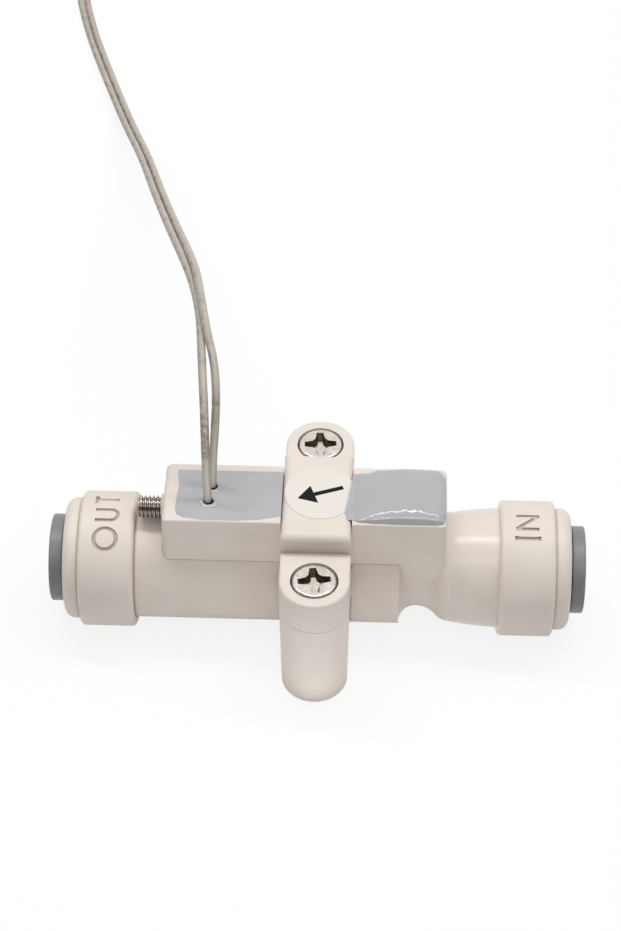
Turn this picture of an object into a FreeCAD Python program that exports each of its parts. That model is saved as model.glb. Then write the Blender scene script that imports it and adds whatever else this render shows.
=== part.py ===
import FreeCAD, Part
import math
import os
from types import SimpleNamespace

import Sketcher
from FreeCAD import Placement, Rotation, Vector

# Water flow switch for quarter-inch tube, in millimetres.
# The flow axis runs along X from the outlet (-X) to the inlet (+X), Z is up, and the
# origin lies under the clamp's centre on the surface that the clamp base stands on.
SIZES = {
    # Push-fit socket, the same at both ends
    "tube_radius": 3.175,
    "tube_clearance": 0.055,
    "tube_depth": 16.0,
    "flow_radius": 2.2,
    "collar_near": 20.0,
    "collar_length": 6.1,
    "collar_step": 1.08,
    "collar_round": 0.5,
    "cap_step": 0.77,
    "cap_exposed": 1.8,
    "cap_round": 1.1,
    "cap_seat_step": 0.57,
    "cap_skirt_length": 4.2,
    "collet_flange_step": 0.9,
    "collet_flange": 1.4,
    "collet_gap": 0.2,
    "collet_wall": 0.71,
    "collet_reach": 5.8,
    "collet_bump": 0.66,
    "collet_grip": 1.3,
    "collet_travel": 1.3,
    "collet_round": 0.2,
    "collet_slot": 0.7,
    "collet_slot_length": 4.0,
    "tooth_width": 1.6,
    "tooth_height": 0.95,
    "tooth_thickness": 0.3,
    "tube_ring_section": 1.8,
    "seal_room": 0.1,
    # Sleeve with the flow chamber, and the spigot that closes it
    "sleeve_radius": 6.42,
    "sleeve_end": 9.1,
    "sleeve_wall": 1.82,
    "web_thickness": 1.5,
    "guide_wall": 0.5,
    "spigot_length": 6.1,
    "spigot_ring_section": 1.2,
    "spigot_ring_inset": 3.0,
    # Waisted neck of the inlet
    "neck_step": 0.35,
    "waist_radius": 4.4,
    "waist_offset": 1.9,
    "neck_round": 3.0,
    "shoulder_round": 2.0,
    "socket_step": 0.88,
    # Switch tray on top of the sleeve
    "tray_left": 16.71,
    "tray_right": 14.06,
    "tray_half": 4.36,
    "tray_rise": 4.44,
    "tray_wall": 1.0,
    "tray_end_wall": 1.57,
    "tray_floor_wall": 0.83,
    "tray_round": 0.6,
    "rim_round": 0.2,
    # Resin in the tray: level at the outlet half, domed at the inlet half
    "potting_drop": 0.06,
    "dome_rise": 1.05,
    "dome_ramp": 5.0,
    "dome_end": 1.1,
    "dome_side": 1.6,
    "dome_inset": 0.15,
    "dome_root": 0.4,
    # Clamp
    "clamp_half": 3.8,
    "clamp_clearance": 0.08,
    "strap_thickness": 1.4,
    "strap_wall": 1.99,
    "strap_round": 0.8,
    "ear_offset": 3.93,
    "ear_rise": 1.99,
    "ear_round": 0.3,
    "ear_thickness": 4.12,
    "joint_gap": 0.06,
    "collar_lift": 0.02,
    "base_draft": 0.9,
    "base_round": 0.4,
    # Clamp screws
    "screw_head_radius": 2.45,
    "screw_head_height": 1.72,
    "screw_head_rim": 1.5,
    "screw_radius": 1.3,
    "screw_length": 9.0,
    "screw_point": 1.2,
    "screw_recess_room": 0.15,
    "screw_recess_depth": 1.65,
    "cross_length": 3.4,
    "cross_width": 1.0,
    "cross_depth": 1.2,
    # Adjusting screw and its adhesive bead
    "trim_radius": 1.3,
    "trim_rise": 1.95,
    "trim_tip_gap": 0.45,
    "trim_length": 6.5,
    "trim_chamfer": 0.25,
    "trim_socket": 0.65,
    "trim_socket_depth": 1.2,
    "bead_width": 0.32,
    "bead_thickness": 0.35,
    # Plunger, magnet and spring
    "piston_length": 6.5,
    "piston_travel": 4.5,
    "piston_nose_radius": 1.6,
    "piston_nose_length": 1.6,
    "flute_width": 2.4,
    "flute_depth": 1.0,
    "magnet_radius": 2.5,
    "magnet_length": 4.5,
    "spring_room": 0.17,
    "spring_wire": 0.18,
    "spring_turns": 6.0,
    # Reed switch inside the potting
    "glass_radius": 0.9,
    "glass_length": 10.0,
    "glass_wall": 0.28,
    "glass_seal": 1.1,
    "glass_centre": -5.0,
    "reed_lead_radius": 0.25,
    "reed_lead_length": 1.9,
    "reed_overlap": 0.8,
    "blade_thickness": 0.14,
    "blade_width": 0.7,
    "solder_radius": 0.55,
    "solder_height": 0.9,
    # Round paper label on the strap
    "label_radius": 3.88,
    "label_thickness": 0.1,
    "label_shift_x": 0.31,
    "label_shift_y": 0.28,
    # Lead wires, their coil and plug
    "wire_radius": 0.46,
    "wire_hole_front_x": -11.86,
    "wire_hole_front_y": -1.06,
    "wire_hole_back_x": -11.55,
    "wire_hole_back_y": 1.18,
    "wire_pitch": 0.97,
    "coil_radius": 10.0,
    "coil_height": 3.4,
    "tie_width": 2.4,
    "tie_thickness": 0.25,
    "tie_clearance": 0.05,
    "plug_width": 7.4,
    "plug_height": 5.75,
    "plug_length": 9.8,
    "plug_pitch": 2.5,
    "plug_cavity": 1.9,
    "plug_cavity_depth": 7.0,
    "plug_window": 1.1,
    "plug_window_start": 1.0,
    "plug_window_length": 2.4,
    "plug_rib": 0.9,
    "plug_rib_rise": 0.5,
    "plug_rib_length": 3.2,
    "contact_size": 1.6,
    "contact_length": 6.0,
    "contact_bore": 0.45,
    # Clearances shared by the pieces
    "slide_clearance": 0.06,
    "seat_clearance": 0.03,
    "tray_clearance": 0.05,
}

# Wire routes in millimetres: each leg from its hole in the potting, then the bonded pair.
# The pair's fourth value is its twist in degrees, from side by side towards one above the other.
FRONT_LEG = [
    (-11.9, -1.0, 20.9),
    (-11.95, -0.5, 25.3),
    (-12.1, 1.8, 28.9),
    (-12.5, 5.8, 30.75),
    (-12.9, 10.2, 31.0),
]
BACK_LEG = [
    (-11.45, 1.3, 20.9),
    (-11.1, 2.1, 25.3),
    (-10.95, 4.4, 28.9),
    (-11.35, 7.6, 30.9),
    (-12.3, 11.2, 31.5),
]
PAIR = [
    (-13.2, 15.4, 30.4, 66),
    (-13.9, 20.0, 29.1, 66),
    (-14.85, 25.6, 27.3, 50),
    (-16.4, 32.4, 24.7, 25),
    (-18.85, 42.5, 20.45, 5),
    (-22.0, 57.0, 13.9, 0),
    (-25.1, 72.0, 7.5, 0),
    (-28.5, 84.5, 2.9, 0),
    (-32.1, 96.5, 0.85, 0),
    (-36.0, 108.5, 0.5, 0),
    (-38.6, 119.0, 0.55, 0),
    (-39.5, 128.0, 0.76, 0),
]
PAIR_ACROSS = Vector(1, 0, 0)
PAIR_ABOVE = Vector(0, 0.35, 0.94)
COIL_CENTRE = (-29.5, 132.0)
COIL_BOTTOM = 0.3
# The tails' points: distance past the coil's centre, and how far each has spread to the plug's pins.
TAIL = [(4.0, 0.0), (8.05, 0.25), (12.4, 0.95), (15.8, 1.0)]
TAIL_HEIGHT = 3.1
RUN_SHARE = 0.45

# Angles of the inlet neck in degrees, and how its long flare compares with its length
NECK_TURN = 48
SHOULDER_TURN = 10
FLARE_RATIO = 6.5

# Collet fingers, plunger flutes, and the spring's runs in each turn with their kind of corner
FINGER_COUNT = 4
FLUTE_COUNT = 4
SPRING_RUNS = 12
MITRED = 1

# How far a cut runs past the face that it leaves
OVERRUN = 1.0

doc = FreeCAD.newDocument("flow_switch")
sheet = doc.addObject("Spreadsheet::Sheet", "sizes")
pieces = []


class Size:
    """A number together with the sheet expression that it comes from."""

    def __init__(self, value, text):
        self.value = value
        self.text = text

    def join(self, sign, other, value):
        return Size(value, f"({self.text} {sign} {other.text})")

    def __add__(self, other):
        other = size_of(other)
        return self.join("+", other, self.value + other.value)

    def __sub__(self, other):
        other = size_of(other)
        return self.join("-", other, self.value - other.value)

    def __mul__(self, other):
        other = size_of(other)
        return self.join("*", other, self.value * other.value)

    def __truediv__(self, other):
        other = size_of(other)
        return self.join("/", other, self.value / other.value)

    def __radd__(self, other):
        return size_of(other) + self

    def __rsub__(self, other):
        return size_of(other) - self

    def __rmul__(self, other):
        return size_of(other) * self

    def __neg__(self):
        return Size(-self.value, f"(0 - {self.text})")

    def __float__(self):
        return self.value


def size_of(thing):
    return thing if isinstance(thing, Size) else Size(float(thing), f"{float(thing):.6f}")


def fill_sheet():
    """Write every driving dimension to the sheet and return them as sizes."""
    for row, (alias, value) in enumerate(SIZES.items(), start=1):
        sheet.set(f"A{row}", alias)
        sheet.set(f"B{row}", str(value))
        sheet.setAlias(f"B{row}", alias)
    doc.recompute()
    return SimpleNamespace(**{alias: Size(float(sheet.get(alias)), f"sizes.{alias}") for alias in SIZES})


s = fill_sheet()

# Heights and places that several pieces share
collar_radius = s.sleeve_radius + s.collar_step
axis_height = collar_radius + s.collar_lift
cap_radius = collar_radius - s.cap_step
socket_radius = collar_radius - s.socket_step
neck_root_radius = s.sleeve_radius - s.neck_step
chamber_radius = s.sleeve_radius - s.sleeve_wall
bore_radius = s.tube_radius + s.tube_clearance
collar_far = s.collar_near + s.collar_length
cap_face = collar_far + s.cap_exposed
collet_back = cap_face + s.collet_gap
collet_face = collet_back + s.collet_flange
tube_stop = collet_face - s.tube_depth
cap_seat = collar_far - s.cap_skirt_length
ring_floor = cap_seat - s.tube_ring_section - s.seal_room
ring_room_radius = bore_radius + s.tube_ring_section + s.seal_room
cap_skirt_radius = ring_room_radius + s.cap_seat_step
cap_pocket_radius = cap_skirt_radius + s.seat_clearance
barrel_radius = bore_radius + s.collet_wall
collet_radius = barrel_radius + s.collet_flange_step
throat_radius = barrel_radius + s.slide_clearance
bump_radius = barrel_radius + s.collet_bump
finger_end = collet_back - s.collet_reach
chamber_end = tube_stop - s.web_thickness
spigot_end = s.sleeve_end - s.spigot_length
spigot_groove = chamber_radius - s.spigot_ring_section - s.seat_clearance * 2
piston_front = spigot_end - s.slide_clearance
piston_back = piston_front - s.piston_length
guide_tip = s.piston_travel + s.slide_clearance - piston_back
guide_radius = s.flow_radius + s.guide_wall
spring_radius = guide_radius + s.spring_room + s.spring_wire
saddle_radius = s.sleeve_radius + s.tray_clearance
tray_floor = saddle_radius + s.tray_floor_wall
tray_top = s.sleeve_radius + s.tray_rise
strap_underside = tray_top - s.strap_thickness
strap_half = s.tray_half + s.tray_clearance + s.strap_wall
ear_distance = s.sleeve_radius + s.ear_offset
ear_top = s.sleeve_radius + s.ear_rise
joint_height = ear_top - s.ear_thickness
screw_recess_radius = s.screw_head_radius + s.screw_recess_room
trim_height = s.sleeve_radius + s.trim_rise
trim_outer = -(s.collar_near - s.trim_tip_gap)
trim_inner = trim_outer + s.trim_length
trim_hole_radius = s.trim_radius + s.tray_clearance
reed_height = tray_floor + s.glass_radius + s.tray_clearance
glass_left = s.glass_centre - s.glass_length / 2
glass_right = s.glass_centre + s.glass_length / 2
solder_top = reed_height + s.solder_height / 2


def bind(thing, prop, size):
    """Set a property and tie it to the sheet."""
    thing.setExpression(prop, size_of(size).text)


def lift(thing, turned=False):
    """Place a piece on the flow axis, turned end for end for the outlet's fittings."""
    angle = 180 if turned else 0
    thing.Placement = Placement(Vector(0, 0, axis_height.value), Rotation(Vector(0, 0, 1), angle))
    bind(thing, "Placement.Base.z", axis_height)


def add_piece(thing, label):
    thing.Label = label
    pieces.append(thing)
    return thing


def new_body(name, turned=False, piece=True):
    body = doc.addObject("PartDesign::Body", name + "_body")
    lift(body, turned)
    if piece:
        add_piece(body, name)
    return body


def new_sketch(body, name, plane, start=0.0, tilt=0):
    """Sketch on an origin plane, moved along the plane's normal and tilted about X."""
    sketch = body.newObject("Sketcher::SketchObject", name)
    support = next(item for item in body.Origin.OriginFeatures if item.Role == plane)
    sketch.AttachmentSupport = (support, [""])
    sketch.MapMode = "FlatFace"
    start = size_of(start)
    sketch.AttachmentOffset = Placement(Vector(0, 0, start.value), Rotation(Vector(1, 0, 0), tilt))
    bind(sketch, "AttachmentOffset.Base.z", start)
    return sketch


def pin(sketch, geo, pos, u, v):
    """Tie a sketch point's two coordinates to their sizes."""
    for kind, along, coordinate in (("DistanceX", -2, u), ("DistanceY", -1, v)):
        coordinate = size_of(coordinate)
        if abs(coordinate.value) < 1e-9:
            sketch.addConstraint(Sketcher.Constraint("PointOnObject", geo, pos, along))
            continue
        ends = (-1, 1, geo, pos)
        if coordinate.value < 0:
            ends = (geo, pos, -1, 1)
            coordinate = -coordinate
        index = sketch.addConstraint(Sketcher.Constraint(kind, *ends, coordinate.value))
        bind(sketch, f"Constraints[{index}]", coordinate)


def outline(sketch, corners):
    """Closed outline; a corner is (u, v), or (u, v, radius, side) if an arc leads to it.

    The arc's centre lies to the left of its chord for side +1 and to the right for -1.
    """
    places = [Vector(float(corner[0]), float(corner[1]), 0) for corner in corners]
    ends = []
    for index, corner in enumerate(corners):
        before, here = places[index - 1], places[index]
        if len(corner) == 2:
            geo = sketch.addGeometry(Part.LineSegment(before, here))
            ends.append((geo, 1, 2))
            continue
        radius, side = size_of(corner[2]), corner[3]
        chord = here - before
        rise = math.sqrt(radius.value ** 2 - chord.Length ** 2 / 4)
        across = Vector(-chord.y, chord.x, 0).normalize() * (side * rise)
        centre = before + chord * 0.5 + across
        first, last = (before, here) if side > 0 else (here, before)
        angles = [math.atan2(point.y - centre.y, point.x - centre.x) for point in (first, last)]
        circle = Part.Circle(centre, Vector(0, 0, 1), radius.value)
        geo = sketch.addGeometry(Part.ArcOfCircle(circle, *angles))
        ends.append((geo, 1, 2) if side > 0 else (geo, 2, 1))
        index = sketch.addConstraint(Sketcher.Constraint("Radius", geo, radius.value))
        bind(sketch, f"Constraints[{index}]", radius)
    for (geo, _, pos), (after, after_pos, _) in zip(ends, ends[1:] + ends[:1]):
        sketch.addConstraint(Sketcher.Constraint("Coincident", geo, pos, after, after_pos))
    for (geo, _, pos), corner in zip(ends, corners):
        pin(sketch, geo, pos, corner[0], corner[1])


def disc(sketch, u, v, radius):
    """Full circle in a sketch."""
    radius = size_of(radius)
    centre = Vector(float(u), float(v), 0)
    geo = sketch.addGeometry(Part.Circle(centre, Vector(0, 0, 1), radius.value))
    pin(sketch, geo, 3, u, v)
    index = sketch.addConstraint(Sketcher.Constraint("Radius", geo, radius.value))
    bind(sketch, f"Constraints[{index}]", radius)


def rectangle(u0, v0, u1, v1):
    return [(u0, v0), (u1, v0), (u1, v1), (u0, v1)]


def stadium(half, reach):
    """Plan of the clamp: straight sides with a half-round end at each screw."""
    tip = reach + half
    return [(half, reach), (0, tip, half, 1), (-half, reach, half, 1),
            (-half, -reach), (0, -tip, half, 1), (half, -reach, half, 1)]


def feature(body, kind, name, sketch):
    made = body.newObject("PartDesign::" + kind, name)
    made.Profile = sketch
    return made


def turn(body, name, corners, cut=False, height=None):
    """Revolve an outline about the X axis, or about a line above it."""
    sketch = new_sketch(body, name + "_profile", "XZ_Plane")
    if height is not None:
        sketch.AttachmentOffset = Placement(Vector(0, height.value, 0), Rotation())
        bind(sketch, "AttachmentOffset.Base.y", height)
    outline(sketch, corners)
    made = feature(body, "Groove" if cut else "Revolution", name, sketch)
    made.ReferenceAxis = (sketch, ["H_Axis"])
    made.Angle = 360
    return made


def pad(body, name, sketch, length, down=False, taper=None):
    made = feature(body, "Pad", name, sketch)
    bind(made, "Length", length)
    made.Reversed = down
    if taper is not None:
        bind(made, "TaperAngle", taper)
    return made


def pocket(body, name, sketch, length=None, through=False, forward=False):
    """Cut of a given depth, right through one way, or through both ways."""
    made = feature(body, "Pocket", name, sketch)
    made.Reversed = forward
    if length is not None:
        bind(made, "Length", length)
    else:
        made.Type = "ThroughAll"
        made.SideType = "Symmetric" if through else "One side"
    return made


def around(body, name, original, count):
    """Repeat a feature evenly about the flow axis."""
    pattern = body.newObject("PartDesign::PolarPattern", name)
    pattern.Originals = [original]
    axis = next(item for item in body.Origin.OriginFeatures if item.Role == "X_Axis")
    pattern.Axis = (axis, [""])
    pattern.Angle = 360
    pattern.Occurrences = count
    body.Tip = pattern
    return pattern


def round_edges(body, name, radius, wanted):
    """Fillet the edges of the piece so far that the test picks."""
    doc.recompute()
    base = body.Tip
    names = [f"Edge{index}" for index, edge in enumerate(base.Shape.Edges, start=1) if wanted(edge)]
    if not names:
        raise ValueError(f"{name} finds no edge")
    made = body.newObject("PartDesign::Fillet", name)
    made.Base = (base, names)
    bind(made, "Radius", radius)
    return made


def near(first, second):
    return abs(float(first) - float(second)) < 1e-4


def rings(radius, *places):
    """Test for circles of a radius about the flow axis at some distances along it."""
    def wanted(edge):
        curve = edge.Curve
        return (isinstance(curve, Part.Circle) and near(curve.Radius, radius)
                and any(near(curve.Center.x, place) for place in places))
    return wanted


def corners_at(**limits):
    """Test for edges whose two ends both have the given coordinates, signs aside."""
    def wanted(edge):
        return all(near(abs(getattr(vertex.Point, axis)), place)
                   for vertex in edge.Vertexes for axis, place in limits.items())
    return wanted


def socket_bore(far):
    """Stepped outline of the inside of a push-fit socket, from its mouth to a depth."""
    past = collar_far + OVERRUN
    return [(past, 0), (past, cap_pocket_radius), (cap_seat, cap_pocket_radius),
            (cap_seat, ring_room_radius), (ring_floor, ring_room_radius),
            (ring_floor, bore_radius), (tube_stop, bore_radius),
            (tube_stop, s.flow_radius), (far, s.flow_radius), (far, 0)]


def make_outlet_body():
    """Socket, and the sleeve with the plunger's chamber, its spring guide and its stop."""
    body = new_body("outlet_body", turned=True)
    turn(body, "shell", [
        (-s.sleeve_end, 0), (-s.sleeve_end, s.sleeve_radius), (s.collar_near, s.sleeve_radius),
        (s.collar_near, collar_radius), (collar_far, collar_radius), (collar_far, 0)])
    mouth = -s.sleeve_end - OVERRUN
    turn(body, "chamber", [
        (mouth, 0), (mouth, chamber_radius), (chamber_end, chamber_radius),
        (chamber_end, guide_radius), (guide_tip, guide_radius), (guide_tip, 0)], cut=True)
    turn(body, "bore", socket_bore(guide_tip - OVERRUN), cut=True)
    round_edges(body, "collar_rims", s.collar_round, rings(collar_radius, s.collar_near, collar_far))


def neck_profile():
    """Outer outline of the inlet moulding, from the spigot's tip to the socket's mouth."""
    turn_angle, shoulder_angle = math.radians(NECK_TURN), math.radians(SHOULDER_TURN)
    waist_x = s.sleeve_end + s.waist_offset
    root_rise = neck_root_radius - s.waist_radius
    root_round = (s.waist_offset * s.waist_offset + root_rise * root_rise) / (root_rise * 2)
    bend_x = waist_x + s.neck_round * math.sin(turn_angle)
    bend_r = s.waist_radius + s.neck_round * (1 - math.cos(turn_angle))
    shoulder_x = bend_x + s.shoulder_round * (math.sin(turn_angle) - math.sin(shoulder_angle))
    shoulder_r = bend_r + s.shoulder_round * (math.cos(shoulder_angle) - math.cos(turn_angle))
    flare = (s.collar_near - shoulder_x) * FLARE_RATIO
    spigot_radius = chamber_radius - s.slide_clearance
    groove_half = s.spigot_ring_section / 2 + s.seal_room
    groove_x = spigot_end + s.spigot_ring_inset
    return [
        (spigot_end, 0), (spigot_end, spigot_radius),
        (groove_x - groove_half, spigot_radius), (groove_x - groove_half, spigot_groove),
        (groove_x + groove_half, spigot_groove), (groove_x + groove_half, spigot_radius),
        (s.sleeve_end, spigot_radius), (s.sleeve_end, neck_root_radius),
        (waist_x, s.waist_radius, root_round, 1),
        (bend_x, bend_r, s.neck_round, 1),
        (shoulder_x, shoulder_r, s.shoulder_round, -1),
        (s.collar_near, socket_radius, flare, -1),
        (s.collar_near, collar_radius), (collar_far, collar_radius), (collar_far, 0)]


def tray_inside():
    """Plan of the tray between its walls."""
    inner_half = s.tray_half - s.tray_wall
    return rectangle(-(s.tray_left - s.tray_end_wall), -inner_half, s.tray_right - s.tray_wall, inner_half)


def strap_notch(body, name):
    """Cut that lets the strap lie flush with the tray's top."""
    sketch = new_sketch(body, name + "_profile", "XZ_Plane")
    half = s.clamp_half + s.tray_clearance
    outline(sketch, rectangle(-half, strap_underside - s.tray_clearance, half, tray_top + OVERRUN))
    pocket(body, name, sketch, through=True)


def make_inlet_body():
    body = new_body("inlet_body")
    plan = new_sketch(body, "tray_plan", "XY_Plane")
    outline(plan, rectangle(-s.tray_left, -s.tray_half, s.tray_right, s.tray_half))
    pad(body, "tray_block", plan, tray_top)
    for end, place in (("left", s.tray_left), ("right", s.tray_right)):
        round_edges(body, f"tray_corners_{end}", s.tray_round, corners_at(x=place, y=s.tray_half))
    saddle = new_sketch(body, "saddle_circle", "YZ_Plane", s.sleeve_end)
    disc(saddle, 0, 0, saddle_radius)
    pocket(body, "saddle", saddle)
    turn(body, "neck_and_socket", neck_profile())
    turn(body, "bore", socket_bore(spigot_end - OVERRUN), cut=True)
    inside = new_sketch(body, "tray_inside", "XY_Plane", tray_top)
    outline(inside, tray_inside())
    pocket(body, "tray_hollow", inside, tray_top - tray_floor)
    strap_notch(body, "strap_notch")
    trim = new_sketch(body, "trim_circle", "YZ_Plane", trim_inner + s.tray_clearance)
    disc(trim, 0, trim_height, trim_hole_radius)
    pocket(body, "trim_hole", trim)
    round_edges(body, "collar_rims", s.collar_round, rings(collar_radius, s.collar_near, collar_far))
    round_edges(body, "tray_rim", s.rim_round, corners_at(y=s.tray_half, z=tray_top))


def make_cap(name, turned):
    """End cap: a skirt pressed into the collar, and a throat that wedges the collet shut."""
    body = new_body(name, turned)
    chamber = bump_radius + s.slide_clearance * 2
    cone_start = finger_end + s.collet_grip + s.collet_travel + s.slide_clearance * 2
    cone_end = cone_start + chamber - throat_radius
    turn(body, "ring", [
        (cap_seat, chamber), (cap_seat, cap_skirt_radius), (collar_far, cap_skirt_radius),
        (collar_far, cap_radius), (cap_face, cap_radius), (cap_face, throat_radius),
        (cone_end, throat_radius), (cone_start, chamber)])
    round_edges(body, "outer_rim", s.cap_round, rings(cap_radius, cap_face))


def tooth_sketch(body, name):
    sketch = new_sketch(body, name, "YZ_Plane", finger_end + s.slide_clearance + s.tooth_thickness)
    half = s.tooth_width / 2
    outline(sketch, rectangle(-half, bore_radius, half, bore_radius + s.tooth_height))
    return sketch


def make_collet(name, turned):
    """Release collet: a flange to press, and four sprung fingers with steel teeth."""
    body = new_body(name, turned)
    grip_end = finger_end + s.collet_grip
    turn(body, "barrel", [
        (finger_end, bore_radius), (finger_end, bump_radius), (grip_end, bump_radius),
        (grip_end + s.collet_bump, barrel_radius), (collet_back, barrel_radius),
        (collet_back, collet_radius), (collet_face, collet_radius), (collet_face, bore_radius)])
    for number, tilt in enumerate((45, -45)):
        slot = new_sketch(body, f"slot_{number}_plan", "XY_Plane", tilt=tilt)
        half = s.collet_slot / 2
        outline(slot, rectangle(finger_end - OVERRUN, -half, finger_end + s.collet_slot_length, half))
        pocket(body, f"slot_{number}", slot, through=True)
    seat = pocket(body, "tooth_seat", tooth_sketch(body, "tooth_plan"), s.tooth_thickness)
    around(body, "tooth_seats", seat, FINGER_COUNT)
    round_edges(body, "flange_rim", s.collet_round, rings(collet_radius, collet_face))


def make_teeth(name, turned):
    body = new_body(name, turned)
    body.AllowCompound = True
    tooth = pad(body, "tooth", tooth_sketch(body, "tooth_plan"), s.tooth_thickness, down=True)
    around(body, "teeth", tooth, FINGER_COUNT)


def make_ring(name, middle, inner, section, turned=False):
    """O-ring about the flow axis."""
    ring = doc.addObject("Part::Torus", name + "_torus")
    angle = -90 if turned else 90
    ring.Placement = Placement(Vector(0, 0, 0), Rotation(Vector(0, 1, 0), angle))
    bind(ring, "Radius1", inner + section / 2)
    bind(ring, "Radius2", section / 2)
    bind(ring, "Placement.Base.x", -middle if turned else middle)
    bind(ring, "Placement.Base.z", axis_height)
    add_piece(ring, name)


def make_fittings():
    ring_middle = cap_seat - (s.tube_ring_section + s.seal_room) / 2
    ring_inner = bore_radius + s.seat_clearance
    for end, turned in (("outlet", True), ("inlet", False)):
        make_cap(end + "_cap", turned)
        make_collet(end + "_collet", turned)
        make_teeth(end + "_collet_teeth", turned)
        make_ring(end + "_tube_ring", ring_middle, ring_inner, s.tube_ring_section, turned)
    make_ring("spigot_ring", spigot_end + s.spigot_ring_inset, spigot_groove + s.seat_clearance,
              s.spigot_ring_section)


def sleeve_clearance(body, name):
    """Cut round the sleeve, with the clamp's own clearance."""
    sketch = new_sketch(body, name + "_circle", "YZ_Plane")
    disc(sketch, 0, 0, s.sleeve_radius + s.clamp_clearance)
    pocket(body, name, sketch, through=True)


def screw_holes(body, name, start, radius, length=None):
    sketch = new_sketch(body, name + "_circles", "XY_Plane", start)
    for side in (-1, 1):
        disc(sketch, 0, ear_distance * side, radius)
    pocket(body, name, sketch, length)


def make_clamp_strap():
    body = new_body("clamp_strap")
    plan = new_sketch(body, "ear_plan", "XY_Plane", joint_height)
    outline(plan, stadium(s.clamp_half, ear_distance))
    pad(body, "ears", plan, ear_top - joint_height)
    round_edges(body, "ear_edges", s.ear_round, corners_at(z=ear_top))
    hat = new_sketch(body, "hat_plan", "XY_Plane", joint_height)
    outline(hat, rectangle(-s.clamp_half, -strap_half, s.clamp_half, strap_half))
    pad(body, "hat", hat, tray_top - joint_height)
    channel = new_sketch(body, "channel_profile", "YZ_Plane")
    half = s.tray_half + s.tray_clearance
    outline(channel, rectangle(-half, joint_height - OVERRUN, half, strap_underside))
    pocket(body, "channel", channel, through=True)
    sleeve_clearance(body, "sleeve_relief")
    screw_holes(body, "head_recesses", ear_top, screw_recess_radius, s.screw_recess_depth)
    screw_holes(body, "screw_holes", ear_top, s.screw_radius + s.clamp_clearance)
    round_edges(body, "hat_edges", s.strap_round, corners_at(y=strap_half, z=tray_top))


def make_clamp_base():
    body = new_body("clamp_base")
    top = joint_height - s.joint_gap
    plan = new_sketch(body, "base_plan", "XY_Plane", top)
    outline(plan, stadium(s.clamp_half, ear_distance))
    pad(body, "block", plan, top + axis_height, down=True, taper=-s.base_draft)
    round_edges(body, "foot_edges", s.base_round, corners_at(z=axis_height))
    radius = s.sleeve_radius + s.clamp_clearance
    mouth = top + OVERRUN
    cradle = new_sketch(body, "cradle_profile", "YZ_Plane")
    outline(cradle, [(radius, mouth), (-radius, mouth), (-radius, 0),
                     (0, -radius, radius, 1), (radius, 0, radius, 1)])
    pocket(body, "cradle", cradle, through=True)
    screw_reach = s.screw_recess_depth + s.screw_length - (ear_top - top)
    hole_radius = s.screw_radius + s.clamp_clearance
    screw_holes(body, "screw_holes", top, hole_radius, screw_reach + s.screw_point / 2)


def make_clamp_screws():
    """Cross-recess pan-head screw, and its twin on the other ear."""
    body = new_body("clamp_screw_front", piece=False)
    sketch = new_sketch(body, "screw_profile", "YZ_Plane")
    seat = ear_top - s.screw_recess_depth + s.seat_clearance
    rim = seat + s.screw_head_rim
    crown = s.screw_head_height - s.screw_head_rim
    dome = (s.screw_head_radius * s.screw_head_radius + crown * crown) / (crown * 2)
    tip = seat - s.screw_length
    middle = -ear_distance
    outline(sketch, [
        (middle, tip), (middle + s.screw_radius, tip + s.screw_point), (middle + s.screw_radius, seat),
        (middle + s.screw_head_radius, seat), (middle + s.screw_head_radius, rim),
        (middle, rim + crown, dome, 1)])
    made = feature(body, "Revolution", "screw", sketch)
    made.ReferenceAxis = (sketch, ["Edge1"])
    made.Angle = 360
    for name, half_x, half_y in (("cross_a", s.cross_length / 2, s.cross_width / 2),
                                 ("cross_b", s.cross_width / 2, s.cross_length / 2)):
        arm = new_sketch(body, name + "_plan", "XY_Plane", rim + crown)
        outline(arm, rectangle(-half_x, middle - half_y, half_x, middle + half_y))
        pocket(body, name, arm, s.cross_depth)
    twin = doc.addObject("Part::Mirroring", "clamp_screw_back")
    twin.Source = body
    twin.Normal = Vector(0, 1, 0)
    pair = doc.addObject("Part::Compound", "clamp_screw_pair")
    pair.Links = [body, twin]
    add_piece(pair, "clamp_screws")


def make_adjusting_screw():
    """Headless adjusting screw with a six-sided socket in its outer end."""
    body = new_body("adjusting_screw")
    root = s.trim_radius - s.trim_chamfer
    turn(body, "shank", [
        (trim_outer, 0), (trim_outer, root), (trim_outer + s.trim_chamfer, s.trim_radius),
        (trim_inner - s.trim_chamfer, s.trim_radius), (trim_inner, root), (trim_inner, 0)],
        height=trim_height)
    socket = new_sketch(body, "socket_outline", "YZ_Plane", trim_outer)
    sixth = math.pi / 3
    reach = s.trim_socket / math.cos(sixth / 2)
    outline(socket, [(reach * math.cos(sixth * number), trim_height + reach * math.sin(sixth * number))
                     for number in range(6)])
    pocket(body, "socket", socket, s.trim_socket_depth, forward=True)


def make_lock_bead():
    """Ring of set adhesive where the adjusting screw enters the tray."""
    body = new_body("lock_bead")
    wall = -s.tray_left
    inner = s.trim_radius + s.seat_clearance
    crest = wall - s.bead_thickness
    rise = (s.bead_width * s.bead_width + s.bead_thickness * s.bead_thickness) / (s.bead_thickness * 2)
    turn(body, "bead", [
        (wall, inner), (crest, inner), (wall, inner + s.bead_width, rise, -1)], height=trim_height)


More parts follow.
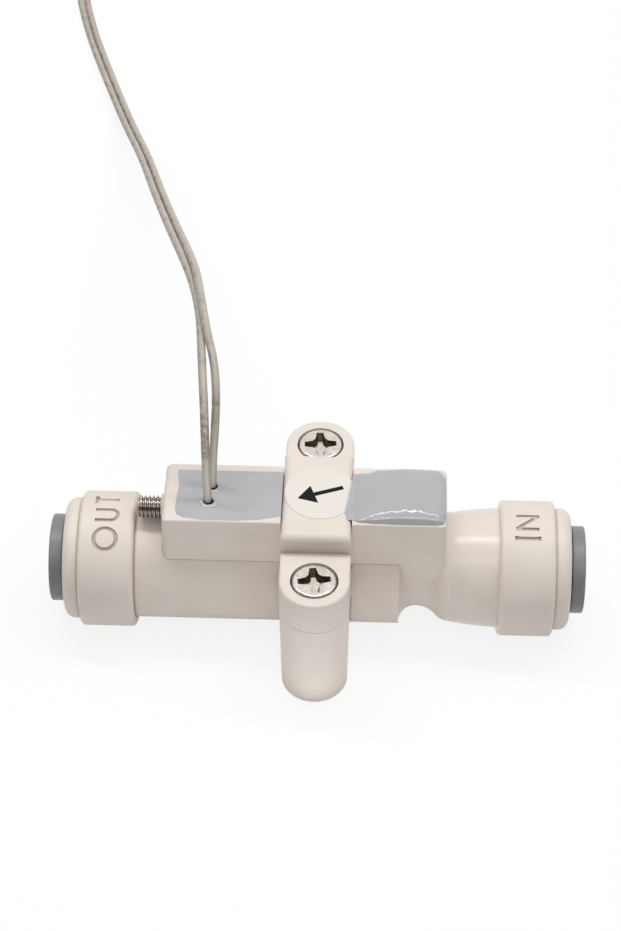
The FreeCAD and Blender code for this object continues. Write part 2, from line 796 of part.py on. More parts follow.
def make_piston():
    """Plunger that the flow pushes off the spigot, with flutes for the water."""
    body = new_body("piston")
    radius = chamber_radius - s.slide_clearance * 2
    nose_tip = piston_front + s.piston_nose_length
    turn(body, "plug", [
        (piston_back, 0), (piston_back, radius), (piston_front, radius),
        (piston_front, s.piston_nose_radius), (nose_tip, s.piston_nose_radius), (nose_tip, 0)])
    plan = new_sketch(body, "flute_plan", "YZ_Plane", piston_front + OVERRUN)
    half = s.flute_width / 2
    outline(plan, rectangle(-half, radius - s.flute_depth, half, radius + OVERRUN))
    flute = pocket(body, "flute", plan, s.piston_length + OVERRUN * 2)
    around(body, "flutes", flute, FLUTE_COUNT)
    pocket_mouth = piston_back - OVERRUN
    pocket_radius = s.magnet_radius + s.seat_clearance
    pocket_floor = piston_back + s.magnet_length
    turn(body, "magnet_pocket", [
        (pocket_mouth, 0), (pocket_mouth, pocket_radius), (pocket_floor, pocket_radius),
        (pocket_floor, 0)], cut=True)
    magnet = new_body("piston_magnet")
    magnet_front = pocket_floor - s.seat_clearance
    turn(magnet, "magnet", [
        (piston_back, 0), (piston_back, s.magnet_radius), (magnet_front, s.magnet_radius),
        (magnet_front, 0)])


def make_return_spring():
    """Coil spring between the chamber's web and the plunger, bent in short straight runs."""
    start = (s.spring_wire + s.seat_clearance - chamber_end).value
    stop = (piston_back - s.spring_wire - s.seat_clearance).value
    runs = round(s.spring_turns.value * SPRING_RUNS)
    points = []
    for number in range(runs + 1):
        angle = 2 * math.pi * number / SPRING_RUNS
        aside = Vector(0, math.cos(angle), math.sin(angle)) * spring_radius.value
        points.append(Vector(start + (stop - start) * number / runs, 0, 0) + aside)
    section = Part.Wire(Part.Circle(points[0], points[1] - points[0], s.spring_wire.value).toShape())
    spring = doc.addObject("Part::Feature", "return_spring_coil")
    spring.Shape = Part.makePolygon(points).makePipeShell([section], True, False, MITRED)
    spring.Placement = Placement(Vector(0, 0, axis_height.value), Rotation())
    add_piece(spring, "return_spring")


ALONG = {"x": Rotation(Vector(0, 1, 0), 90), "y": Rotation(Vector(1, 0, 0), -90), "z": Rotation()}


def rod(name, radius, length, x, y, z, along):
    """Cylinder from a point along one axis, with its place tied to the sheet."""
    made = doc.addObject("Part::Cylinder", name)
    made.Placement = Placement(Vector(0, 0, 0), ALONG[along])
    bind(made, "Radius", radius)
    bind(made, "Height", length)
    for axis, place in zip("xyz", (x, y, z)):
        bind(made, f"Placement.Base.{axis}", place)
    return made


def block(name, corner, spans):
    """Box from its low corner, with its sizes and place tied to the sheet."""
    made = doc.addObject("Part::Box", name)
    for prop, span in zip(("Length", "Width", "Height"), spans):
        bind(made, prop, span)
    for axis, place in zip("xyz", corner):
        bind(made, f"Placement.Base.{axis}", place)
    return made


def combine(kind, name, **links):
    made = doc.addObject("Part::" + kind, name)
    for prop, value in links.items():
        setattr(made, prop, value)
    return made


def make_reed():
    """Sealed reed switch along the tray's floor; returns its glass and its two leads."""
    y, z = s.wire_hole_front_y, axis_height + reed_height
    hollow = s.glass_length - s.glass_seal * 2
    envelope = rod("reed_envelope", s.glass_radius, s.glass_length, glass_left, y, z, "x")
    gas = rod("reed_gas", s.glass_radius - s.glass_wall, hollow, glass_left + s.glass_seal, y, z, "x")
    reach = hollow / 2 + s.reed_overlap / 2
    gap = s.blade_thickness / 2
    leads = []
    for end, lead_from, lead_to, blade_x, shift in (
            ("outlet", s.wire_hole_front_x, glass_left + s.glass_seal, glass_left + s.glass_seal, gap),
            ("inlet", glass_right - s.glass_seal, glass_right + s.reed_lead_length,
             glass_right - s.glass_seal - reach, -gap - s.blade_thickness)):
        lead = rod(f"reed_{end}_lead", s.reed_lead_radius, lead_to - lead_from, lead_from, y, z, "x")
        blade = block(f"reed_{end}_flat", (blade_x, y - s.blade_width / 2, z + shift),
                      (reach, s.blade_width, s.blade_thickness))
        add_piece(combine("Fuse", f"reed_{end}_contact", Base=lead, Tool=blade), f"reed_blade_{end}")
        leads.append(lead)
    removed = combine("MultiFuse", "reed_inside", Shapes=[gas] + leads)
    add_piece(combine("Cut", "reed_tube", Base=envelope, Tool=removed), "reed_glass")
    return envelope, leads


def make_inner_wiring(leads):
    """Bare link back from the reed's inlet end, and three solder joints; returns all that metal."""
    z = axis_height + reed_height
    inlet_x = glass_right + s.reed_lead_length
    radius = s.reed_lead_radius
    along = rod("link_along", radius, inlet_x + radius - s.wire_hole_back_x, s.wire_hole_back_x,
                s.wire_hole_back_y, z, "x")
    start_y = s.wire_hole_front_y + radius + s.tray_clearance
    across = rod("link_across", radius, s.wire_hole_back_y - start_y, inlet_x, start_y, z, "y")
    # Merging the elbow's faces gives a solid that some lengths break in the STEP file.
    link = add_piece(combine("Fuse", "link_conductor", Base=along, Tool=across, Refine=False),
                     "return_conductor")
    conductors = combine("MultiFuse", "conductors", Shapes=leads + [link])
    drops, joints = [], []
    for name, x, y in (("front", s.wire_hole_front_x, s.wire_hole_front_y),
                       ("back", s.wire_hole_back_x, s.wire_hole_back_y),
                       ("inlet", inlet_x, s.wire_hole_front_y)):
        drops.append(rod(f"solder_{name}_drop", s.solder_radius, s.solder_height, x, y,
                         z - s.solder_height / 2, "z"))
        joints.append(combine("Cut", f"solder_{name}", Base=drops[-1], Tool=conductors))
    add_piece(combine("Compound", "solder_group", Links=joints), "solder_joints")
    return drops + [conductors]


def resin_dome():
    """Resin that stands proud of the tray: an arch along its inlet half crossed with one over it."""
    crest = tray_top + s.dome_rise
    root = tray_top - s.dome_root
    left = s.label_shift_x + s.label_radius + s.tray_clearance
    half = s.tray_half - s.dome_inset
    stem_half = s.tray_half - s.tray_wall - s.tray_clearance
    stem_right = s.tray_right - s.tray_wall - s.tray_clearance
    arches = []
    for name, plane, stem, edges, ramps, start, length in (
            ("along", "XZ_Plane", (left + s.tray_clearance, stem_right), (left, s.tray_right - s.dome_inset),
             (s.dome_ramp, s.dome_end), -s.tray_half, s.tray_half * 2),
            ("across", "YZ_Plane", (-stem_half, stem_half), (-half, half),
             (s.dome_side, s.dome_side), 0, s.tray_right)):
        body = new_body(f"dome_{name}", piece=False)
        sketch = new_sketch(body, f"dome_{name}_profile", plane, start)
        first, last = ((ramp * ramp + s.dome_rise * s.dome_rise) / (s.dome_rise * 2) for ramp in ramps)
        outline(sketch, [
            (stem[0], root), (stem[1], root), (stem[1], tray_top), (edges[1], tray_top),
            (edges[1] - ramps[1], crest, last, 1), (edges[0] + ramps[0], crest),
            (edges[0], tray_top, first, 1), (stem[0], tray_top)])
        pad(body, f"dome_{name}_arch", sketch, length)
        arches.append(body)
    return combine("Common", "dome", Base=arches[0], Tool=arches[1])


def make_potting(embedded):
    """Resin that fills the tray round everything that lies in it."""
    body = new_body("potting_pour", piece=False)
    plan = new_sketch(body, "pour_plan", "XY_Plane", tray_floor)
    outline(plan, tray_inside())
    pad(body, "pour", plan, tray_top - s.potting_drop - tray_floor)
    strap_notch(body, "strap_room")
    rooms = [rod("trim_room", trim_hole_radius, s.trim_length + s.tray_clearance, trim_outer, 0,
                 axis_height + trim_height, "x")]
    for name, x, y in (("front", s.wire_hole_front_x, s.wire_hole_front_y),
                       ("back", s.wire_hole_back_x, s.wire_hole_back_y)):
        rooms.append(rod(f"wire_room_{name}", s.wire_radius + s.tray_clearance, tray_top - solder_top,
                         x, y, axis_height + solder_top, "z"))
    resin = combine("Fuse", "potting_mass", Base=body, Tool=resin_dome(), Refine=False)
    for number, void in enumerate(embedded + rooms):
        resin = combine("Cut", f"potting_cut_{number}", Base=resin, Tool=void, Refine=False)
    add_piece(resin, "potting")


def make_label():
    label = rod("label_disc", s.label_radius, s.label_thickness, s.label_shift_x, s.label_shift_y,
                axis_height + tray_top, "z")
    add_piece(label, "round_label")


def wire_path(name, points):
    """Straight runs joined by tangent arcs, each arc as large as its two runs allow."""
    points = [Vector(*point) for point in points]
    edges, radii = [], []
    start = points[0]
    for before, corner, after in zip(points, points[1:], points[2:]):
        back, forth = (before - corner), (after - corner)
        trim = RUN_SHARE * min(back.Length, forth.Length)
        half_turn = (math.pi - back.getAngle(forth)) / 2
        radius = trim / math.tan(half_turn)
        back.normalize()
        forth.normalize()
        first, last = corner + back * trim, corner + forth * trim
        inward = (back + forth).normalize()
        middle = corner + inward * (radius / math.cos(half_turn) - radius)
        edges += [Part.LineSegment(start, first).toShape(), Part.Arc(first, middle, last).toShape()]
        radii.append(radius)
        start = last
    edges.append(Part.LineSegment(start, points[-1]).toShape())
    wire = Part.Wire(edges)
    print(f"{name}: length {wire.Length:.1f}, smallest bend radius {min(radii):.1f}")
    return wire


def tube(name, points, radius):
    """Round tube along a wire's route, with its volume checked against its length."""
    path = wire_path(name, points)
    direction = Vector(*points[1]) - Vector(*points[0])
    section = Part.Wire(Part.Circle(Vector(*points[0]), direction, radius).toShape())
    shape = path.makePipeShell([section], True, False)
    expected = math.pi * radius ** 2 * path.Length
    if abs(shape.Volume / expected - 1) > 0.02:
        raise ValueError(f"{name} has volume {shape.Volume:.2f} in place of {expected:.2f}")
    return shape


def pair_points(shift):
    """Route of one wire of the bonded pair, beside or above the pair's own middle line."""
    points = []
    for x, y, z, twist in PAIR:
        angle = math.radians(twist)
        aside = PAIR_ACROSS * math.cos(angle) + PAIR_ABOVE * math.sin(angle)
        points.append(Vector(x, y, z) + aside * shift)
    return points


def make_lead_wires():
    """The two insulated wires, each from its hole in the resin to the coil."""
    start_z = (axis_height + solder_top).value
    for name, leg, side, x, y in (
            ("lead_wire_front", FRONT_LEG, -1, s.wire_hole_front_x, s.wire_hole_front_y),
            ("lead_wire_back", BACK_LEG, 1, s.wire_hole_back_x, s.wire_hole_back_y)):
        points = [(x.value, y.value, start_z)] + leg + pair_points(side * s.wire_pitch.value / 2)
        wire = doc.addObject("Part::Feature", name + "_tube")
        wire.Shape = tube(name, points, s.wire_radius.value)
        wire.Placement = Placement()
        add_piece(wire, name)


def plug_place():
    """Low corner of the plug, which lies past the coil where the tails end at its contacts."""
    x = COIL_CENTRE[0] + TAIL[-1][0] - (s.plug_length - s.plug_cavity_depth)
    y = COIL_CENTRE[1] + s.coil_radius - s.plug_width / 2
    return x, y, size_of(0)


def make_tail(name, side):
    """Short end of one wire, from the coil's last turn out to its contact in the plug."""
    spread = (s.plug_pitch - s.wire_pitch).value / 2
    fall = TAIL_HEIGHT - s.plug_height.value / 2
    points = []
    for distance, share in TAIL:
        aside = s.wire_pitch.value / 2 + spread * share
        points.append((COIL_CENTRE[0] + distance, COIL_CENTRE[1] + s.coil_radius.value + side * aside,
                       TAIL_HEIGHT - fall * share))
    return tube(name, points, s.wire_radius.value)


def make_coil():
    """Put-away turns of both wires as one plain ring, with the band that ties them."""
    x, y = COIL_CENTRE
    half = s.wire_pitch / 2 + s.wire_radius
    outer = rod("coil_outer", s.coil_radius + half, s.coil_height, x, y, COIL_BOTTOM, "z")
    inner = rod("coil_inner", s.coil_radius - half, s.coil_height, x, y, COIL_BOTTOM, "z")
    add_piece(combine("Cut", "coil_ring", Base=outer, Tool=inner), "lead_coil")
    room, wall = s.tie_clearance, s.tie_thickness
    sag = s.tie_width * s.tie_width / ((s.coil_radius - half) * 8)
    span = half * 2 + sag + room * 2
    rise = s.coil_height + room * 2
    low_x = x + s.coil_radius - half - sag - room
    low_z = COIL_BOTTOM - room
    band = block("tie_band", (low_x - wall, y - s.tie_width / 2, low_z - wall),
                 (span + wall * 2, s.tie_width, rise + wall * 2))
    hole = block("tie_hole", (low_x, y - s.tie_width, low_z), (span, s.tie_width * 2, rise))
    add_piece(combine("Cut", "tie_loop", Base=band, Tool=hole), "coil_tie")


def make_plug():
    """Two-way plug housing with lance windows and guide ribs, its contacts and the wire tails."""
    x, y, z = plug_place()
    middle_y, middle_z = y + s.plug_width / 2, z + s.plug_height / 2
    shell = block("plug_shell", (x, y, z), (s.plug_length, s.plug_width, s.plug_height))
    solids, cuts, contacts, tails = [shell], [], [], []
    back = x + s.plug_length - s.plug_cavity_depth
    for number, side in enumerate((-1, 1)):
        pin_y = middle_y + s.plug_pitch / 2 * side
        cavity_y, cavity_z = pin_y - s.plug_cavity / 2, middle_z - s.plug_cavity / 2
        cuts.append(block(f"plug_cavity_{number}", (back, cavity_y, cavity_z),
                          (s.plug_cavity_depth + OVERRUN, s.plug_cavity, s.plug_cavity)))
        cuts.append(rod(f"plug_entry_{number}", s.wire_radius + s.clamp_clearance,
                        back - x + OVERRUN * 2, x - OVERRUN, pin_y, middle_z, "x"))
        cuts.append(block(f"plug_window_{number}",
                          (back + s.plug_window_start, pin_y - s.plug_window / 2, middle_z),
                          (s.plug_window_length, s.plug_window, s.plug_height / 2 + OVERRUN)))
        rib_x, rib_z = x + s.plug_length - s.plug_rib_length, middle_z + s.plug_cavity
        solids.append(block(f"plug_rib_{number}", (rib_x, pin_y - s.plug_rib / 2, rib_z),
                            (s.plug_rib_length, s.plug_rib, z + s.plug_height + s.plug_rib_rise - rib_z)))
        contact_z = cavity_z + s.seat_clearance
        outer = block(f"contact_{number}_box",
                      (back + s.seat_clearance, pin_y - s.contact_size / 2, contact_z),
                      (s.contact_length, s.contact_size, s.contact_size))
        bore = rod(f"contact_{number}_bore", s.contact_bore, s.contact_length + OVERRUN * 2,
                   back - OVERRUN, pin_y, contact_z + s.contact_size / 2, "x")
        contacts.append(combine("Cut", f"contact_{number}", Base=outer, Tool=bore))
        tails.append(make_tail(f"lead_tail_{number}", side))
    moulding = combine("MultiFuse", "plug_moulding", Shapes=solids)
    removed = combine("MultiFuse", "plug_openings", Shapes=cuts)
    add_piece(combine("Cut", "plug_housing", Base=moulding, Tool=removed), "connector_housing")
    add_piece(combine("Compound", "contact_pair", Links=contacts), "connector_contacts")
    tail_pair = doc.addObject("Part::Feature", "lead_tail_pair")
    tail_pair.Shape = Part.makeCompound(tails)
    tail_pair.Placement = Placement()
    add_piece(tail_pair, "lead_tails")


def check_and_write():
    """Stop on any failed object or bad solid, then write one file for each piece."""
    doc.recompute()
    for thing in doc.Objects:
        if "Invalid" in thing.State or "Error" in thing.State:
            raise ValueError(f"{thing.Name} ({thing.Label}) failed: {thing.State}")
    for piece in pieces:
        if piece.Shape.isNull() or not piece.Shape.isValid() or not piece.Shape.Solids:
            raise ValueError(f"{piece.Label} has no valid solid")
    os.makedirs("parts", exist_ok=True)
    for piece in pieces:
        piece.Shape.exportStep(f"parts/{piece.Label}.step")
        print(f"{piece.Label}: {len(piece.Shape.Solids)} solid(s), {piece.Shape.Volume:.2f} mm3")


make_outlet_body()
make_inlet_body()
make_fittings()
make_clamp_strap()
make_clamp_base()
make_clamp_screws()
make_adjusting_screw()
make_lock_bead()
make_piston()
make_return_spring()
reed_envelope, reed_leads = make_reed()
make_potting([reed_envelope] + make_inner_wiring(reed_leads))
make_lead_wires()
make_label()
make_coil()
make_plug()
check_and_write()
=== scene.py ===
# %% [markdown]
# # A push-fit water flow switch
# This lesson dresses a small flow switch: two ivory push-fit sockets, a plunger between them, and a reed
# switch cast in resin in a tray on top. The solids come ready made as a fixed frame, at their real size and
# in metres. Our work is finish: colours, grain, engraving, threads, resin, wires and light.

# %% Load the frame and keep its box
import math

import bmesh
import bpy
from mathutils import Matrix, Vector, noise
from mathutils.bvhtree import BVHTree
from mathutils.geometry import barycentric_transform


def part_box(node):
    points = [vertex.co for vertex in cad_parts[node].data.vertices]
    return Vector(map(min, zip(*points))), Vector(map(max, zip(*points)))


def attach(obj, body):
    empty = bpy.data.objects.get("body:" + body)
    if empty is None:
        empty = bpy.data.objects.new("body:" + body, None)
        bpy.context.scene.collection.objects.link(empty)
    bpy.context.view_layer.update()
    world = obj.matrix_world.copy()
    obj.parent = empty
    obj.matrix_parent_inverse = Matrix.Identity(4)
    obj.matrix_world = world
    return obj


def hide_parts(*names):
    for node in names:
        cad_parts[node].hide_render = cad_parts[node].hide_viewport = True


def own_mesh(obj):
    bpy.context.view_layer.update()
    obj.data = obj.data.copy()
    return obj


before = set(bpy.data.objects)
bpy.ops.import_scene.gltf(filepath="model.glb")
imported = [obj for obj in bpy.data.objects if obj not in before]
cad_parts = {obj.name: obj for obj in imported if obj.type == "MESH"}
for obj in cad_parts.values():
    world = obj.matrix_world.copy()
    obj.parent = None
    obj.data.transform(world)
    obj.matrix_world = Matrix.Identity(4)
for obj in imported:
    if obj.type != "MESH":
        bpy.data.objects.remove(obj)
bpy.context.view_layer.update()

# Lengths in this lesson are millimetres; MM turns them into the frame's metres.
MM = 0.001
HOUSING = "housing"

# %% [markdown]
# ## Camera
# The photograph looks down at 45 degrees, almost square to the flow axis, through a long lens. A long lens
# flattens depth, so the two sockets keep nearly the same size. A camera can be aimed with a constraint, but
# this pose was fitted to known circles and edges of the object, roll included, so we set it from its three
# axes.

# %% Set the camera
CAMERA_TARGET = Vector((-0.751, 0.0, 22.886)) * MM
CAMERA_DISTANCE = 273.04 * MM
CAMERA_ELEVATION = math.radians(45.0)
CAMERA_AZIMUTH = math.radians(2.144)
CAMERA_ROLL = math.radians(-0.157)
CAMERA_LENS = 98.456


def add_object(name, data):
    """New object for a camera, curve, mesh or lamp, linked to the scene."""
    made = bpy.data.objects.new(name, data)
    bpy.context.collection.objects.link(made)
    return made


def aim_camera():
    """Camera at the fitted place; its local axes are right, up and back."""
    level = math.cos(CAMERA_ELEVATION)
    back = Vector((math.sin(CAMERA_AZIMUTH) * level, -math.cos(CAMERA_AZIMUTH) * level,
                   math.sin(CAMERA_ELEVATION)))
    right = Vector((math.cos(CAMERA_AZIMUTH), math.sin(CAMERA_AZIMUTH), 0))
    above = back.cross(right)
    across = right * math.cos(CAMERA_ROLL) + above * math.sin(CAMERA_ROLL)
    up = above * math.cos(CAMERA_ROLL) - right * math.sin(CAMERA_ROLL)
    data = bpy.data.cameras.new("photo_camera")
    data.lens = CAMERA_LENS
    camera = add_object("photo_camera", data)
    place = Matrix((across, up, back)).transposed().to_4x4()
    place.translation = CAMERA_TARGET + back * CAMERA_DISTANCE
    camera.matrix_world = place
    bpy.context.scene.camera = camera
    return camera


camera = aim_camera()
print("camera stands at", [round(edge / MM, 1) for edge in camera.location], "mm")

# %% [markdown]
# ## The two lead wires
# Two thin stranded wires leave the resin, meet above it and lie side by side as a bonded pair down to the
# bench, where their spare length is wound into a small coil and ends in a plug. A pipe of straight pieces
# would show its corners, so a wire is a NURBS curve with a round bevel: the listed points of its route
# pull the curve along, and it bends like something springy. The coil's points come from a loop.

# %% Lay the wires along their route
WIRE_RADIUS = 0.46 * MM
WIRE_PITCH = 0.97
WIRE_START = 16.22
FRONT_HOLE = (-11.86, -1.06)
BACK_HOLE = (-11.55, 1.18)
RESIN_TOP = 18.32
FRONT_LEG = [(-11.9, -1.0, 20.9), (-11.95, -0.5, 25.3), (-12.1, 1.8, 28.9), (-12.5, 5.8, 30.75),
             (-12.9, 10.2, 31.0)]
BACK_LEG = [(-11.45, 1.3, 20.9), (-11.1, 2.1, 25.3), (-10.95, 4.4, 28.9), (-11.35, 7.6, 30.9),
            (-12.3, 11.2, 31.5)]
# The bonded pair: middle line and twist in degrees.
PAIR = [
    (-13.2, 15.4, 30.4, 66), (-13.9, 20.0, 29.1, 66), (-14.85, 25.6, 27.3, 50), (-16.4, 32.4, 24.7, 25),
    (-18.85, 42.5, 20.45, 5), (-22.0, 57.0, 13.9, 0), (-25.1, 72.0, 7.5, 0), (-28.5, 84.5, 2.9, 0),
    (-32.1, 96.5, 0.85, 0), (-36.0, 108.5, 0.5, 0), (-38.6, 119.0, 0.55, 0), (-39.5, 128.0, 0.76, 0)]
PAIR_ACROSS = Vector((1, 0, 0))
PAIR_ABOVE = Vector((0, 0.35, 0.94))
COIL_CENTRE = (-29.5, 132.0)
COIL_RADIUS = 10.0
COIL_TURNS = 2.25
COIL_LOW, COIL_HIGH = 0.76, 3.1
TURN_POINTS = 16
# The tails: distance past the coil's centre, and how far each has spread to the plug's pins.
TAIL = [(4.0, 0.0), (8.05, 0.25), (12.4, 0.95), (15.8, 1.0)]
PLUG_PITCH = 2.5
PLUG_AXIS = 2.875


def wire_route(hole, leg, side):
    """Points of one wire in millimetres; side is -1 for the front wire and +1 for the back one."""
    shift = WIRE_PITCH / 2
    points = [Vector((*hole, WIRE_START))] + [Vector(point) for point in leg]
    for x, y, z, twist in PAIR:
        turn = math.radians(twist)
        aside = PAIR_ACROSS * math.cos(turn) + PAIR_ABOVE * math.sin(turn)
        points.append(Vector((x, y, z)) + aside * side * shift)
    # The curve runs inside its points, so they stand out by the half angle's cosine.
    reach = (COIL_RADIUS - side * shift) / math.cos(math.pi / TURN_POINTS)
    steps = round(COIL_TURNS * TURN_POINTS)
    for step in range(steps + 1):
        angle = math.pi - 2 * math.pi * step / TURN_POINTS
        height = COIL_LOW + (COIL_HIGH - COIL_LOW) * step / steps
        points.append(Vector((COIL_CENTRE[0] + reach * math.cos(angle),
                              COIL_CENTRE[1] + reach * math.sin(angle), height)))
    for distance, share in TAIL:
        aside = shift + (PLUG_PITCH / 2 - shift) * share
        points.append(Vector((COIL_CENTRE[0] + distance, COIL_CENTRE[1] + COIL_RADIUS - side * aside,
                              COIL_HIGH + (PLUG_AXIS - COIL_HIGH) * share)))
    return points


def lay_wire(name, points):
    """Round wire on a NURBS spline through the pull of its route's points."""
    curve = bpy.data.curves.new(name, "CURVE")
    curve.dimensions = "3D"
    # The bevel is one metre deep and each point scales it, so that the curve's box has the wire's size.
    curve.bevel_depth = 1.0
    curve.bevel_resolution = 5
    curve.resolution_u = 6
    curve.use_fill_caps = True
    spline = curve.splines.new("NURBS")
    spline.points.add(len(points) - 1)
    for control, place in zip(spline.points, points):
        control.co = (*(place * MM), 1)
        control.radius = WIRE_RADIUS
    spline.order_u = 3
    spline.use_endpoint_u = True
    wire = add_object(name, curve)
    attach(wire, HOUSING)
    return wire


lead_wires = []
for name, hole, leg, side in (("front", FRONT_HOLE, FRONT_LEG, -1), ("back", BACK_HOLE, BACK_LEG, 1)):
    wire = lay_wire(f"{name}_lead", wire_route(hole, leg, side))
    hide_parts(f"lead_wire_{name}", "lead_coil", "lead_tails")
    lead_wires.append(wire)
    print(wire.name, "has", len(wire.data.splines[0].points), "points")

# %% [markdown]
# ## Colours and nodes
# Colours are written as they look on a screen, in sRGB hex, and shaders want linear light, so one function
# converts them. A second small function adds a shader node with its settings, fixed inputs and links, which
# keeps each material readable as a list of what it is made of. Several sockets of a mix node share a name,
# so a colour mix is linked by number: its share is input 0, its two colours are inputs 6 and 7, and its
# result is output 2.

# %% Helpers for materials
# A noise node's values mostly lie between these two.
NOISE_LOW, NOISE_HIGH = 0.3, 0.7


def linear(code):
    """Linear colour of an sRGB hex code."""
    shades = [int(code[place:place + 2], 16) / 255 for place in (1, 3, 5)]
    light = [shade / 12.92 if shade <= 0.04045 else ((shade + 0.055) / 1.055) ** 2.4 for shade in shades]
    return light + [1.0]


def add_node(tree, kind, inputs=None, links=None, ramp=None, **settings):
    """One node with its settings, fixed inputs, links from other sockets and colour ramp stops."""
    node = tree.nodes.new(kind)
    for name, value in settings.items():
        setattr(node, name, value)
    for name, value in (inputs or {}).items():
        node.inputs[name].default_value = value
    for name, socket in (links or {}).items():
        tree.links.new(socket, node.inputs[name])
    for place, (position, colour) in enumerate(ramp or []):
        stops = node.color_ramp.elements
        stop = stops[place] if place < 2 else stops.new(position)
        stop.position = position
        stop.color = colour
    return node


def start_material(name, **sockets):
    """Material with its tree, its shader and the object's own coordinates in metres."""
    material = bpy.data.materials.new(name)
    material.use_nodes = True
    tree = material.node_tree
    shader = tree.nodes["Principled BSDF"]
    for socket, value in sockets.items():
        shader.inputs[socket.replace("_", " ")].default_value = value
    place = add_node(tree, "ShaderNodeTexCoord").outputs["Object"]
    return material, tree, shader, place


def per_metre(size):
    """Texture scale for a pattern whose marks are this many millimetres apart."""
    return 1 / (size * MM)


print("white is", linear("#FFFFFF")[:3])

# %% [markdown]
# ## Moulded plastics
# The sockets, caps and clamp are injection-moulded acetal. The steel mould was spark eroded, so the skin
# carries a fine even grain that breaks up reflections, and cooling leaves faint cloudy shade differences
# some millimetres wide. A picture of plastic would have to be unwrapped onto every piece. Noise in the
# object's own coordinates fits all of them at once, and its size can be given in millimetres.

# %% Make the moulded plastics
CLOUD_SIZE = 7.0
# Spark erosion leaves a grain of a few hundredths of a millimetre, which would vanish in the render, so it
# is drawn about ten times coarser.
GRAIN_SIZE = 0.30


def moulded_plastic(name, light, dark, gloss, rough, grain_depth, grain_size=GRAIN_SIZE):
    """Plastic from a steel mould: cloudy shade, and a grain that scatters gloss between two roughnesses."""
    material, tree, shader, place = start_material(name, IOR=1.48)
    cloud = add_node(tree, "ShaderNodeTexNoise", {"Scale": per_metre(CLOUD_SIZE), "Detail": 3.0},
                     {"Vector": place})
    shade = add_node(tree, "ShaderNodeValToRGB", links={"Fac": cloud.outputs["Fac"]},
                     ramp=[(0.35, linear(dark)), (0.62, linear(light))])
    tree.links.new(shade.outputs["Color"], shader.inputs["Base Color"])
    grain = add_node(tree, "ShaderNodeTexNoise", {"Scale": per_metre(grain_size), "Detail": 2.0},
                     {"Vector": place})
    sheen = add_node(tree, "ShaderNodeMapRange",
                     {"From Min": NOISE_LOW, "From Max": NOISE_HIGH, "To Min": gloss, "To Max": rough},
                     {"Value": grain.outputs["Fac"]})
    tree.links.new(sheen.outputs["Result"], shader.inputs["Roughness"])
    bump = add_node(tree, "ShaderNodeBump", {"Strength": 1.0, "Distance": grain_depth * MM},
                    {"Height": grain.outputs["Fac"]})
    tree.links.new(bump.outputs["Normal"], shader.inputs["Normal"])
    return material


# Acetal from a spark-eroded mould: a soft even sheen, and no sharp mirror images.
ivory_acetal = moulded_plastic("ivory_acetal", "#ECE2D8", "#E6DBD1", 0.46, 0.60, 0.010)
# The clamp's mould was finished a little finer, so its faces shine a little more.
clamp_acetal = moulded_plastic("clamp_acetal", "#EDE3DA", "#E8DED4", 0.40, 0.55, 0.008)
# Acetal dyed grey for the collets: darker, so the light along its edges stands out.
grey_acetal = moulded_plastic("grey_acetal", "#87888B", "#7F8083", 0.34, 0.48, 0.008)
# Undyed acetal of the plunger: whiter, and smoother because it has to slide.
plunger_acetal = moulded_plastic("plunger_acetal", "#E8E6E0", "#DEDBD4", 0.35, 0.5, 0.006)
# Nylon flows thin and copies its mould closely: a waxy shine on the plug and on the coil's tie.
plug_nylon = moulded_plastic("plug_nylon", "#E9E6DC", "#E1DDD1", 0.30, 0.44, 0.006)
tie_nylon = moulded_plastic("tie_nylon", "#E9E7E0", "#DFDCD4", 0.32, 0.45, 0.006)
print("moulded plastics:", [material.name for material in (ivory_acetal, clamp_acetal, grey_acetal,
                                                           plunger_acetal, plug_nylon, tie_nylon)])

# %% [markdown]
# ## Painted shade in corners and seams
# The clamp's inside corners and the seams between the mouldings are painted darker here, as painted shade.
# It could be painted by hand, but the ambient occlusion node finds these places by itself: it tells how
# much of the open sky a point has within a short reach. Where there is little, the colour is mixed towards
# a darker tone. On the clamp only upright faces take the painted shade.

# %% Paint shade in corners and seams
CORNER_REACH, SEAM_REACH = 3.2, 0.45
# Tones of the painted shade in the clamp's corners, in the seams and in the grooves.
CORNER_SHADE, SEAM_SHADE, GROOVE_SHADE = "#BDB2A6", "#A5998C", "#BDB0A2"
# Shares of open sky at which the painted shade starts and at which it is full.
CORNER_SKY, SEAM_SKY = (0.95, 0.55), (0.9, 0.5)
# Tilt of a face at which it counts as level, and as upright.
LEVEL_TILT, UPRIGHT_TILT = 0.7, 0.1


def paint_occlusion_shade(material, reach, tone, sky, upright_only=False):
    """Paints shade into a material in corners and seams; upright_only keeps to upright faces and to its own
    piece.
    """
    tree = material.node_tree
    shader = tree.nodes["Principled BSDF"]
    unshaded = shader.inputs["Base Color"].links[0].from_socket
    openness = add_node(tree, "ShaderNodeAmbientOcclusion", {"Distance": reach * MM}, only_local=upright_only)
    closed = add_node(tree, "ShaderNodeMapRange", {"From Min": sky[0], "From Max": sky[1]},
                      {"Value": openness.outputs["AO"]})
    share = closed.outputs["Result"]
    if upright_only:
        normal = add_node(tree, "ShaderNodeNewGeometry").outputs["Normal"]
        tilt = add_node(tree, "ShaderNodeSeparateXYZ", links={"Vector": normal})
        flat = add_node(tree, "ShaderNodeMath", links={0: tilt.outputs["Z"]}, operation="ABSOLUTE")
        upright = add_node(tree, "ShaderNodeMapRange", {"From Min": LEVEL_TILT, "From Max": UPRIGHT_TILT},
                           {"Value": flat.outputs[0]})
        both = add_node(tree, "ShaderNodeMath", links={0: share, 1: upright.outputs["Result"]},
                        operation="MULTIPLY")
        share = both.outputs[0]
    tint = add_node(tree, "ShaderNodeMix", {7: linear(tone)}, {0: share, 6: unshaded}, data_type="RGBA")
    tree.links.new(tint.outputs[2], shader.inputs["Base Color"])
